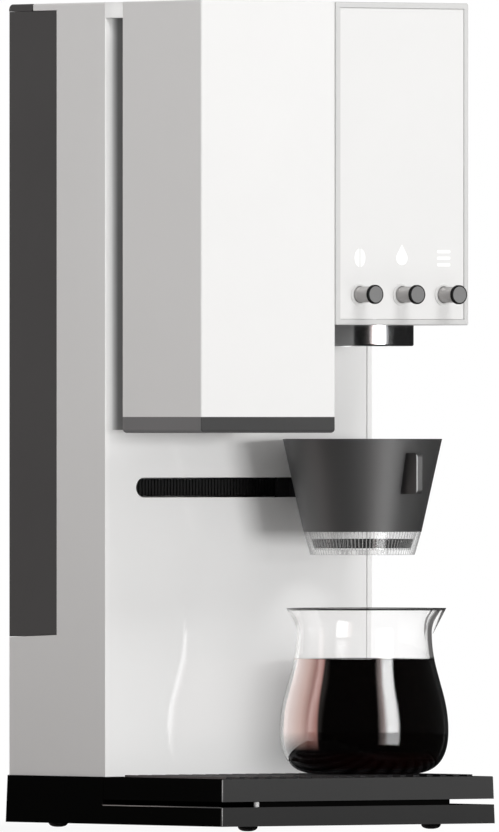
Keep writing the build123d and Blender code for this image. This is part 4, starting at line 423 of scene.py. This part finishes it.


# %% [markdown]
# The dripper's clear foot is thin ribbed plastic. It bends light so little that a see-through
# shader is closer than real glass. Pale lines along the ribs and a pale sheen towards the edges
# are painted highlights.
# A weak mirror layer that leaves out the ribs' slopes gives it one soft streak of light.

# %% Ribbed clear finish
LEVEL = (1, 1, 0)
# Painted highlights: pale lines along the ribs, and a pale edge.
RIB_GLINT_FROM, RIB_GLINT_SHARE = 0.70, 0.38
RIB_EDGE_BLEND, RIB_LEAST_SHARE = 0.12, 0.01
RIB_POLISH_SCALE, RIB_POLISH = 60.0, (0.10, 0.20)
RIB_BODY = (0.75, 0.75, 0.75, 1.0)
RIB_TINT = (0.96, 0.96, 0.96, 1.0)
RIB_SHEEN = (0.024, 0.024, 0.024, 1.0)


def outward_from(tree, place, axis):
    """The level direction from an upright axis (mm) to the point: its offset without height, one long."""
    away = tree.vector("SUBTRACT", place, (axis[0] * MM, axis[1] * MM, 0))
    return tree.vector("NORMALIZE", tree.vector("MULTIPLY", away, LEVEL))


def ribbed_clear(name, axis, ribs):
    """See-through, with one pale line per rib as a painted highlight: a line is where the sine of ribs
    times the angle peaks.
    """
    material = bpy.data.materials.new(name)
    t = Tree(material)
    place = t.place()
    outward = outward_from(t, place, axis)
    turn = t.number("ARCTAN2", t.parts(outward)["Y"], t.parts(outward)["X"])
    wave = t.number("SINE", t.number("MULTIPLY", turn, float(ribs)))
    # Pale rib lines and a pale edge, mixed in as painted highlights.
    painted_glint = t.ranged(wave, RIB_GLINT_FROM, 1.0, 0.0, RIB_GLINT_SHARE)
    edge = t.node("ShaderNodeLayerWeight", {"Blend": RIB_EDGE_BLEND}).outputs["Facing"]
    share = t.number("MAXIMUM", t.number("MAXIMUM", painted_glint, edge), RIB_LEAST_SHARE)
    polish = t.ranged(t.noise(place, RIB_POLISH_SCALE), 0.0, 1.0, *RIB_POLISH)
    body = t.node("ShaderNodeBsdfPrincipled", {"Base Color": RIB_BODY, "Roughness": polish})
    open_way = t.node("ShaderNodeBsdfTransparent", {"Color": RIB_TINT})
    lit = t.number("SUBTRACT", share, t.rays()["Is Shadow Ray"], clamp=True)
    plastic = t.node("ShaderNodeMixShader", {0: lit, 1: open_way, 2: body})
    sheen = t.node("ShaderNodeBsdfGlossy", {"Color": RIB_SHEEN, "Roughness": polish, "Normal": outward})
    t.surface(t.node("ShaderNodeAddShader", {0: plastic, 1: sheen}))
    return material


# %% [markdown]
# The machine's record gives every solid a slot, and the table holds one finish per slot. The
# numbers are colour and roughness, then what differs from a plain moulding. The front faces of
# the base and of the trim carry painted light and shade, a tone of their own for how the light
# falls on them. The finger tab has a painted shade on its side and a painted highlight on its
# edge.

# %% Finish table
DRIPPER_AXIS = (44.575, -40.75)
DRIPPER_RIBS = 90
TAB_LOW, TAB_TOP = (42.6, -92, 177), 201
BASE_FRONT, BASE_SLIT = -95.7, 14.5
TRIM_FRONT = -75.4
GLASS_IOR, GLASS_RIM, GLASS_GLOW_FROM = 1.47, 0.1168, 0.0905
WARM_WHITE = (0.800, 0.797, 0.791)
SHELL = dict(roughness=0.42, drift=0.008, grain=1600, depth=0.01, specular=0.12)
GLOSS = dict(roughness=0.05, drift=0.006, grain=300, depth=0.001, specular=0.4)
# Painted light on the base's front, lighter than its black sides; the lower plate's front a little darker.
BASE_FRONT_PAINTED_LIGHT = [ahead_of(BASE_FRONT, grey(0.052)), ahead_of(BASE_FRONT, grey(0.038), BASE_SLIT)]
# Painted light on the finger tab: a shaded side, a lit tip and a painted highlight along its edge.
TAB_PAINTED_LIGHT = [(TAB_LOW, (42.78, -76, TAB_TOP), grey(0.010)), (TAB_LOW, (46.6, -91.0, TAB_TOP), grey(0.07)),
             (TAB_LOW, (43.3, -90.5, TAB_TOP), grey(0.50))]
MOULDED = {
    "base_black": dict(colour=(0.0040, 0.0040, 0.0038), roughness=0.55, grain=1400, depth=0.03,
                       specular=0.0, boxes=BASE_FRONT_PAINTED_LIGHT),
    "grille_black": dict(colour=(0.010, 0.010, 0.011), roughness=0.5, grain=1800, depth=0.03),
    "foot_rubber": dict(colour=grey(0.008), roughness=0.8, specular=0.2),
    "steel": dict(colour=(0.58, 0.58, 0.59), roughness=0.28, metal=1.0, grain=700),
    "light_metal": dict(colour=(0.62, 0.62, 0.63), roughness=0.4, metal=1.0, grain=500, depth=0.04),
    "white_shell": dict(colour=WARM_WHITE, **SHELL),
    "white_gloss": dict(colour=WARM_WHITE, **GLOSS),
    "tank_grey": dict(colour=(0.0582, 0.0594, 0.0598), roughness=0.35, drift=0.05, grain=800,
                      specular=0.05),
    "inner_black": dict(colour=(0.02, 0.02, 0.021), roughness=0.5),
    # Painted shade: the trim's front face is darker than its side.
    "trim_grey": dict(colour=(0.18, 0.18, 0.182), roughness=0.5, grain=1400, specular=0.08,
                      boxes=[ahead_of(TRIM_FRONT, grey(0.063))]),
    "hopper_smoke": dict(colour=grey(0.05), roughness=0.2),
    "motor_metal": dict(colour=(0.2, 0.2, 0.21), roughness=0.45, metal=1.0),
    "hose_silicone": dict(colour=(0.7, 0.7, 0.68), roughness=0.4),
    "board_green": dict(colour=(0.012, 0.09, 0.04), roughness=0.4, drift=0.15),
    "belt_rubber": dict(colour=grey(0.012), roughness=0.6, grain=1500, depth=0.05, specular=0.12),
    "lens_white": dict(colour=grey(0.95), roughness=0.2, drift=0.005, glow=0.10),
    "collar_white": dict(colour=(0.86, 0.86, 0.85), roughness=0.25, drift=0.01),
    "knob_metal": dict(colour=grey(0.30), roughness=0.3, metal=1.0, grain=600),
    "spout_chrome": dict(colour=(0.85, 0.85, 0.86), roughness=0.19, drift=0.01, metal=1.0, depth=0.001),
    "dripper_grey": dict(colour=grey(0.040), roughness=0.46, grain=1500, depth=0.01, specular=1.0, coat=1.0,
                         boxes=TAB_PAINTED_LIGHT),
}
FINISHES = {slot: moulded(slot, **look) for slot, look in MOULDED.items()}
FINISHES["clear_plastic"] = ribbed_clear("clear_plastic", DRIPPER_AXIS, DRIPPER_RIBS)
FINISHES["carafe_glass"] = clear("carafe_glass", grey(0.99), GLASS_IOR, roughness=0.015, veil=0.01,
                                 rim=GLASS_RIM, glow_from=GLASS_GLOW_FROM)
print("finishes:", len(FINISHES))

# %% [markdown]
# Three white pieces need more than their slot's finish. The head's front rim has a painted
# shade, a little darker than the walls, and the column's front rim has a painted light, a little
# lighter. The tall panel has a painted shade that darkens step by step inside the gap behind the
# front block, where hardly any light comes in.

# %% Finishes of single pieces
# Painted shade on the head's front rim, and painted light on the column's front rim.
HEAD_RIM, HEAD_RIM_PAINTED_SHADE = -75.2, (0.63, 0.63, 0.625)
COLUMN_RIM, COLUMN_RIM_PAINTED_LIGHT = 9.9, (0.950, 0.947, 0.941)
PANEL_WHITE = (0.965, 0.963, 0.957)
GAP_HIGH, GAP_FLOOR = (-3, 20, 440), 212.5
# Each row holds the x (mm) where the next step of painted shade begins, and its grey.
GAP_SHADE = [(-84.2, 0.80), (-83.4, 0.64), (-82.6, 0.50), (-81.8, 0.38), (-81.0, 0.28), (-80.2, 0.22)]

gap_boxes = [((x, 0, GAP_FLOOR), GAP_HIGH, grey(level)) for x, level in GAP_SHADE]
OWN_FINISHES = {
    "head_shell": moulded("head_rim", WARM_WHITE, **SHELL, boxes=[ahead_of(HEAD_RIM, HEAD_RIM_PAINTED_SHADE)]),
    "column_shell": moulded("column_rim", WARM_WHITE, **SHELL,
                            boxes=[ahead_of(COLUMN_RIM, COLUMN_RIM_PAINTED_LIGHT)]),
    "column_panel": moulded("shaded_panel", PANEL_WHITE, **GLOSS, boxes=gap_boxes),
}
for row in frame["record"]["subparts"]:
    mesh = nodes[row["node"]].data
    mesh.materials.clear()
    mesh.materials.append(OWN_FINISHES.get(row["node"], FINISHES[row["material_slot"]]))
print("own finishes:", ", ".join(OWN_FINISHES))

# %% [markdown]
# ## Turned surfaces
# Coffee, knobs, feet and rings are round, so each is one profile turned about an axis: a grid
# with the profile's points one way and the angle the other. Blender's Spin could turn it too,
# but it leaves doubles at the seam and the poles. Here the first and last points lie on the
# axis and become single points, which closes the surface. A ring's profile is closed in itself.

# %% Turning helper
SHARP_ANGLE = math.radians(35)


def turned(name, profile, centre, finishes, picks=None, along_front=False, ring=False, steps=96):
    """The profile's points (radius, height) in mm, turned about an upright axis, or one that faces front.

    Point (i, j) is (r_i cos a_j, r_i sin a_j, h_i) with a_j = 2 pi j / steps. picks gives the finish
    of each strip between two points of the profile. A ring's profile runs on from its last point to
    its first; any other profile starts and ends on the axis.
    """
    profile = np.asarray(profile, float)
    rows = profile if ring else profile[1:-1]
    angle = np.arange(steps) * 2 * np.pi / steps
    x = rows[:, :1] * np.cos(angle)
    y = rows[:, :1] * np.sin(angle)
    z = np.repeat(rows[:, 1:], steps, axis=1)
    points = np.stack([x, y, z], axis=-1).reshape(-1, 3)
    index = np.arange(len(rows) * steps).reshape(len(rows), steps)
    after = np.roll(index, -1, axis=1)
    low, high = slice(0, -1), slice(1, None)
    if ring:
        low, high = slice(None), np.roll(np.arange(len(rows)), -1)
    quads = np.stack([index[low], after[low], after[high], index[high]], axis=-1).reshape(-1, 4)
    faces = quads.tolist()
    if not ring:
        points = np.vstack([points, [[0, 0, profile[0, 1]], [0, 0, profile[-1, 1]]]])
        first, last = np.full(steps, len(points) - 2), np.full(steps, len(points) - 1)
        start = np.stack([after[0], index[0], first], axis=-1)
        end = np.stack([index[-1], after[-1], last], axis=-1)
        faces = start.tolist() + faces + end.tolist()
    if along_front:
        # The axis turns to the front: height becomes minus y, and y becomes height.
        points = points[:, [0, 2, 1]] * (1, -1, 1)
    mesh = bpy.data.meshes.new(name)
    mesh.from_pydata(((points + np.asarray(centre)) * MM).tolist(), [], faces)
    for finish in finishes:
        mesh.materials.append(finish)
    if picks is not None:
        mesh.polygons.foreach_set("material_index", np.repeat(np.asarray(picks, np.int32), steps))
    mesh.shade_smooth()
    mesh.set_sharp_from_angle(angle=SHARP_ANGLE)
    made = bpy.data.objects.new(name, mesh)
    bpy.context.scene.collection.objects.link(made)
    return made


# %% [markdown]
# ## Coffee
# The carafe is two thirds full. A plain cylinder of coffee would stand away from the glass or
# cut through it, so the coffee's profile is read from the inner wall of the carafe's own mesh
# and drawn in by a hair. The beak is left out of that reading, because the wall bulges there.

# %% Inside of the carafe
CARAFE_AXIS = np.array((45.575, -40.75))
CARAFE_FLOOR = 31.02
BEAK_ANGLE, BEAK_REACH = -25.0, 60
INWARD = -0.15
SMOOTHING = 5


def inner_wall(mesh, axis, heights):
    """Radius of a turned vessel's inside at the heights (mm).

    It is the distance from the axis of the faces that look inwards, read along the height and
    averaged over a few neighbours.
    """
    spots = np.empty(len(mesh.polygons) * 3)
    normals = np.empty(len(mesh.polygons) * 3)
    mesh.polygons.foreach_get("center", spots)
    mesh.polygons.foreach_get("normal", normals)
    spots = spots.reshape(-1, 3) / MM
    away = spots[:, :2] - axis
    radius = np.hypot(away[:, 0], away[:, 1])
    inward = (normals.reshape(-1, 3)[:, :2] * away).sum(axis=1) < INWARD * radius
    turn = np.degrees(np.arctan2(away[:, 1], away[:, 0])) - BEAK_ANGLE
    inward &= np.abs((turn + 180) % 360 - 180) > BEAK_REACH
    order = np.argsort(spots[inward, 2])
    found = np.interp(heights, spots[inward, 2][order], radius[inward][order])
    padded = np.pad(found, SMOOTHING // 2, mode="edge")
    return np.convolve(padded, np.full(SMOOTHING, 1 / SMOOTHING), mode="valid")


# %% [markdown]
# Black coffee lets red light through where it is thin. A true liquid with absorption would show
# that, but slowly and with noise. So the coffee is nearly black and wet, the foot has a painted
# red for that light, and the side towards the pale panel has a painted glow in a few reds. Its
# edges let some of the lamps' light pass, which keeps the shadow on the panel soft.

# %% Coffee finish
# Painted light: the foot's red and the glowing reds stand for light that comes through thin coffee.
FOOT_PAINTED_RED = (0.010, 0.0010, 0.0007, 1.0)
COFFEE_TONE = (0.0012, 0.0008, 0.0007, 1.0)
# Heights (metres) over which the foot's painted red ends and the painted red glow begins.
FOOT_FADE = (0.031, 0.042)
GLOW_FADE = (0.042, 0.052)
# Each stop holds how far the wall faces the lit side, from 0 to 1, and the red of the painted glow there.
PAINTED_GLOW_REDS = [(0.56, DARK), (0.59, (0.32, 0.16, 0.14, 1.0)), (0.69, (0.26, 0.12, 0.10, 1.0)),
        (0.78, (0.50, 0.33, 0.29, 1.0)), (0.95, (0.66, 0.54, 0.51, 1.0))]
STEEP_UNDER = 0.6
SWIRL_SCALE, SWIRL_DETAIL, SWIRL_GLOSS = 25.0, 3.0, (0.01, 0.06)
WATER_IOR = 1.33
THIN_EDGE = 0.12


def coffee_finish(axis, lit_side):
    """Nearly black and wet, with a painted red glow on the walls that face lit_side.

    The dot product of the wall's outward direction and lit_side picks the red. A lamp's light passes
    by the share facing ** THIN_EDGE, where facing is 0 on a wall seen straight on and 1 at its edge.
    """
    material = bpy.data.materials.new("black_coffee")
    t = Tree(material)
    rays = t.rays()
    place = t.place()
    height = t.parts(place)["Z"]
    tone = t.mixed(t.ranged(height, *FOOT_FADE), FOOT_PAINTED_RED, COFFEE_TONE)
    side = t.measure("DOT_PRODUCT", outward_from(t, place, axis), lit_side)
    slope = t.parts(t.node("ShaderNodeNewGeometry").outputs["Normal"])["Z"]
    wall_only = t.number("LESS_THAN", slope, STEEP_UNDER)
    lit = t.number("MULTIPLY", t.ranged(height, *GLOW_FADE), wall_only)
    painted_glow = t.number("SUBTRACT", lit, rays["Diffuse Depth"], clamp=True)
    gloss = t.ranged(t.noise(place, SWIRL_SCALE, SWIRL_DETAIL), 0.0, 1.0, *SWIRL_GLOSS)
    liquid = t.node("ShaderNodeBsdfPrincipled", {
        "Base Color": tone, "Roughness": gloss, "IOR": WATER_IOR, "Specular IOR Level": 0.5,
        "Emission Color": t.ramp(side, PAINTED_GLOW_REDS), "Emission Strength": painted_glow})
    facing = t.node("ShaderNodeLayerWeight", {"Blend": 0.5}).outputs["Facing"]
    open_way = t.node("ShaderNodeBsdfTransparent", {"Color": t.number("POWER", facing, THIN_EDGE)})
    t.surface(t.node("ShaderNodeMixShader", {0: rays["Is Shadow Ray"], 1: liquid, 2: open_way}))
    return material


# %% [markdown]
# The coffee's profile has close points in the curve of the foot and wider ones up the wall. At
# the glass its surface climbs a little, as water does.

# %% Coffee
COFFEE_LEVEL = 89.8
COFFEE_GAP = 0.12
FOOT_CURVE, FOOT_POINTS, WALL_START, WALL_POINTS = 6, 16, 7, 44
CLIMB = 0.5
# Each row holds a distance from the glass and the surface's height there above the level (mm).
CLIMB_CURVE = [(0.5, 0.15), (1.6, 0.0)]

foot = CARAFE_FLOOR + COFFEE_GAP
foot_heights = np.linspace(foot, foot + FOOT_CURVE, FOOT_POINTS)
wall_heights = np.linspace(foot + WALL_START, COFFEE_LEVEL + CLIMB, WALL_POINTS)
heights = np.concatenate([foot_heights, wall_heights])
wall = inner_wall(nodes["carafe"].data, CARAFE_AXIS, heights) - COFFEE_GAP
edge = wall[-1]
surface = [(edge - inset, COFFEE_LEVEL + rise) for inset, rise in CLIMB_CURVE] + [(0, COFFEE_LEVEL)]
profile = np.vstack([[(0, foot)], np.stack([wall, heights], axis=1), surface])
black_coffee = coffee_finish(CARAFE_AXIS, -TO_THE_RIGHT)
coffee = turned("coffee", profile, (*CARAFE_AXIS, 0), [black_coffee], steps=160)
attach(coffee, "carafe")
print("coffee: foot radius", round(wall[0], 1), "mm, edge radius", round(edge, 1), "mm")

# %% [markdown]
# ## Knobs
# Each knob is a slim stem with fine turned grooves and a wider cap: pale metal on the stem, a
# dark rim and a grey face. Grooves could be bump in the finish, but real ones also show at the
# stem's outline. The profile's strips choose between the three finishes.

# %% Knobs
KNOB_X = {"knob_left": 16.575, "knob_middle": 44.575, "knob_right": 72.575}
KNOB_Z = 284.5
# Distances in front of the machine's middle (mm).
KNOB_BACK, KNOB_CAP, KNOB_FACE = 73.6, 87.7, 89.6
STEM_RADIUS, CAP_RADIUS = 4.2, 5.1
GROOVE_COUNT, GROOVE_PITCH, GROOVE_DEPTH = 13, 0.75, 0.16
GROOVE = np.array([(0, 0.0), (0, 0.36), (-GROOVE_DEPTH, 0.44), (-GROOVE_DEPTH, 0.67)])
GROOVE_MARGIN, STEM_END = 0.4, 0.3
ON_STEM, ON_RIM, ON_FACE = 0, 1, 2
# Each row holds how far the cap is drawn in from its rim, and the distance from its back or face.
CAP_BACK = [(0.15, 0.0), (0.0, 0.15)]
CAP_FRONT = [(0.0, 0.30), (0.10, 0.08), (0.32, 0.0), (0.75, 0.0)]

start = KNOB_CAP - GROOVE_MARGIN - GROOVE_COUNT * GROOVE_PITCH
grooves = np.tile(GROOVE, (GROOVE_COUNT, 1))
grooves[:, 1] += start + np.repeat(np.arange(GROOVE_COUNT), len(GROOVE)) * GROOVE_PITCH
grooves[:, 0] += STEM_RADIUS
stem_back = [(0, KNOB_BACK), (STEM_RADIUS, KNOB_BACK)]
stem = np.vstack([stem_back, grooves, [(STEM_RADIUS, KNOB_CAP - STEM_END)]])
cap = [(STEM_RADIUS, KNOB_CAP)]
cap += [(CAP_RADIUS - inset, KNOB_CAP + ahead) for inset, ahead in CAP_BACK]
cap += [(CAP_RADIUS - inset, KNOB_FACE - behind) for inset, behind in CAP_FRONT]
cap += [(0, KNOB_FACE)]
picks = [ON_STEM] * len(stem) + [ON_RIM] * (len(cap) - 2) + [ON_FACE]
knob_finishes = [
    moulded("knob_stem", (0.500, 0.487, 0.480), 0.32, grain=1200, metal=0.1),
    moulded("knob_rim", grey(0.004), 0.35, grain=1200, specular=0.1),
    moulded("knob_face", grey(0.20), 0.4, drift=0.12, grain=2500, depth=0.04),
]
knob_profile = np.vstack([stem, cap])
for name, x in KNOB_X.items():
    knob = turned(name + "_turned", knob_profile, (x, 0, KNOB_Z), knob_finishes, picks, along_front=True)
    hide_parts(name)
    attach(knob, name)
print("knobs:", len(KNOB_X), "with", GROOVE_COUNT, "grooves each")

# %% [markdown]
# ## Filter ring
# Through the clear ribbed foot of the dripper shows a dark band: the ring that the paper
# filter stands on. A Torus would be round in section, and this ring is flat and leans outwards,
# so it is a closed profile of four points turned about the dripper's axis.

# %% Filter ring
RING_PROFILE = [(25.6, 149.4), (27.2, 154.3), (26.0, 154.3), (24.4, 149.4)]
ring_black = moulded("ring_black", grey(0.004), 0.5, specular=0.1)
filter_ring = turned("filter_ring", RING_PROFILE, (*DRIPPER_AXIS, 0), [ring_black], ring=True)
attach(filter_ring, "dripper")
filter_ring.visible_shadow = False
print("filter ring radius", RING_PROFILE[0][0], "mm")

# %% [markdown]
# ## Feet
# The rubber feet are soft domes. A flattened sphere would be too pointed at its side, so each
# foot is a quarter of an oval that is fuller than an ellipse, turned about its own axis.

# %% Feet
FOOT_RADIUS, FOOT_HEIGHT, FOOT_FULLNESS = 5.3, 2.9, 0.8
FOOT_PLACES = [(-61.0, -79.5), (61.0, -79.5), (-61.0, 89.5), (61.0, 89.5)]
DOME_POINTS = 14

slant = np.linspace(0, np.pi / 2, DOME_POINTS)
dome_radius = FOOT_RADIUS * np.sin(slant) ** FOOT_FULLNESS
dome_height = FOOT_HEIGHT * (1 - np.cos(slant) ** FOOT_FULLNESS)
dome = np.vstack([np.stack([dome_radius, dome_height], axis=1), [(0, FOOT_HEIGHT)]])
for number, (x, y) in enumerate(FOOT_PLACES, 1):
    rubber = turned(f"foot_{number}", dome, (x, y, 0), [FINISHES["foot_rubber"]], steps=48)
    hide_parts("feet")
    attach(rubber, "machine")
print("feet radius", FOOT_RADIUS, "mm")

# %% [markdown]
# ## Edges of the base
# The base's sharp edges catch light as hair lines: one up the front corner and one along the
# left edge of the lower plate. A bevel on the solids would be the usual way, but they stay as
# they are, so each line is a painted highlight: a thin pale rod, a circle swept along a straight
# line and closed with a point at both ends.

# %% Rod helper
ASIDE = (0.3, 0.5, 0.8)


def rod(name, start, end, radius, finish, steps=12):
    """A round rod between two points (mm).

    Point (i, j) is p_i + radius (cos a_j u + sin a_j v), with u and v across the rod.
    """
    start, end = np.asarray(start, float), np.asarray(end, float)
    along = (end - start) / np.linalg.norm(end - start)
    across = np.cross(along, ASIDE)
    across /= np.linalg.norm(across)
    angle = np.arange(steps)[:, None] * 2 * np.pi / steps
    circle = radius * (np.cos(angle) * across + np.sin(angle) * np.cross(along, across))
    tips = [start - along * radius / 2, end + along * radius / 2]
    points = np.vstack([start + circle, end + circle, tips])
    near = np.arange(steps)
    after = np.roll(near, -1)
    first, last = np.full(steps, 2 * steps), np.full(steps, 2 * steps + 1)
    sides = np.stack([near, after, after + steps, near + steps], axis=-1)
    start_fan = np.stack([after, near, first], axis=-1)
    end_fan = np.stack([near + steps, after + steps, last], axis=-1)
    mesh = bpy.data.meshes.new(name)
    mesh.from_pydata((points * MM).tolist(), [], sides.tolist() + start_fan.tolist() + end_fan.tolist())
    mesh.materials.append(finish)
    mesh.shade_smooth()
    made = bpy.data.objects.new(name, mesh)
    bpy.context.scene.collection.objects.link(made)
    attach(made, "machine")
    return made


# %% Edges of the base
CORNER_FOOT, CORNER_TOP = np.array((-90.67, -96.67, 2.9)), np.array((-89.96, -95.96, 28.0))
LOW_EDGE, HIGH_EDGE = (3.2, 12.8), (16.2, 27.6)
CORNER_RADIUS = 0.28
PLATE_TOP, PLATFORM_BOTTOM = 13.0, 16.0
PLATE_EDGE_X, PLATE_EDGE_Y, PLATE_EDGE_DROP, PLATE_EDGE_RADIUS = -90.70, (-95.8, 9.0), 0.05, 0.30


def corner_at(z):
    """The point of the base's leaning corner at a height (mm): its foot plus a share of its length."""
    share = (z - CORNER_FOOT[2]) / (CORNER_TOP[2] - CORNER_FOOT[2])
    return CORNER_FOOT + (CORNER_TOP - CORNER_FOOT) * share


# Painted highlights: pale rods on the base's edges.
painted_highlight = moulded("edge_light", grey(0.30), 0.4)
dim_painted_highlight = moulded("edge_dim", grey(0.09), 0.4)
rod("corner_edge_low", corner_at(LOW_EDGE[0]), corner_at(LOW_EDGE[1]), CORNER_RADIUS, painted_highlight)
rod("corner_edge_high", corner_at(HIGH_EDGE[0]), corner_at(HIGH_EDGE[1]), CORNER_RADIUS, painted_highlight)
plate_ends = [(PLATE_EDGE_X, y, PLATE_TOP - PLATE_EDGE_DROP) for y in PLATE_EDGE_Y]
rod("plate_edge", *plate_ends, PLATE_EDGE_RADIUS, dim_painted_highlight)
print("base edges: corner", CORNER_RADIUS, "mm, plate", PLATE_EDGE_RADIUS, "mm in radius")

# %% [markdown]
# ## Highlight in the slit
# A painted highlight shows in the slit under the platform, at the pedestal's corner: a small pale
# turned piece. A cylinder would do, but the turned profile also gives it the rounded edges of a
# moulded piece.

# %% Highlight in the slit
SLIT_HIGHLIGHT_PLACE = (-65.9, -93.6, 0)
SLIT_HIGHLIGHT_PROFILE = [(0, PLATE_TOP), (1.3, PLATE_TOP), (1.5, PLATE_TOP + 0.3), (1.5, PLATFORM_BOTTOM - 0.5),
                (1.3, PLATFORM_BOTTOM - 0.2), (0, PLATFORM_BOTTOM - 0.2)]
# A pale piece as painted highlight, where the pedestal's corner catches light.
highlight_white = moulded("highlight_white", grey(0.85), 0.4)
slit_highlight = turned("slit_highlight_piece", SLIT_HIGHLIGHT_PROFILE, SLIT_HIGHLIGHT_PLACE, [highlight_white], steps=32)
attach(slit_highlight, "machine")
print("slit_highlight", PLATFORM_BOTTOM - PLATE_TOP, "mm slit")
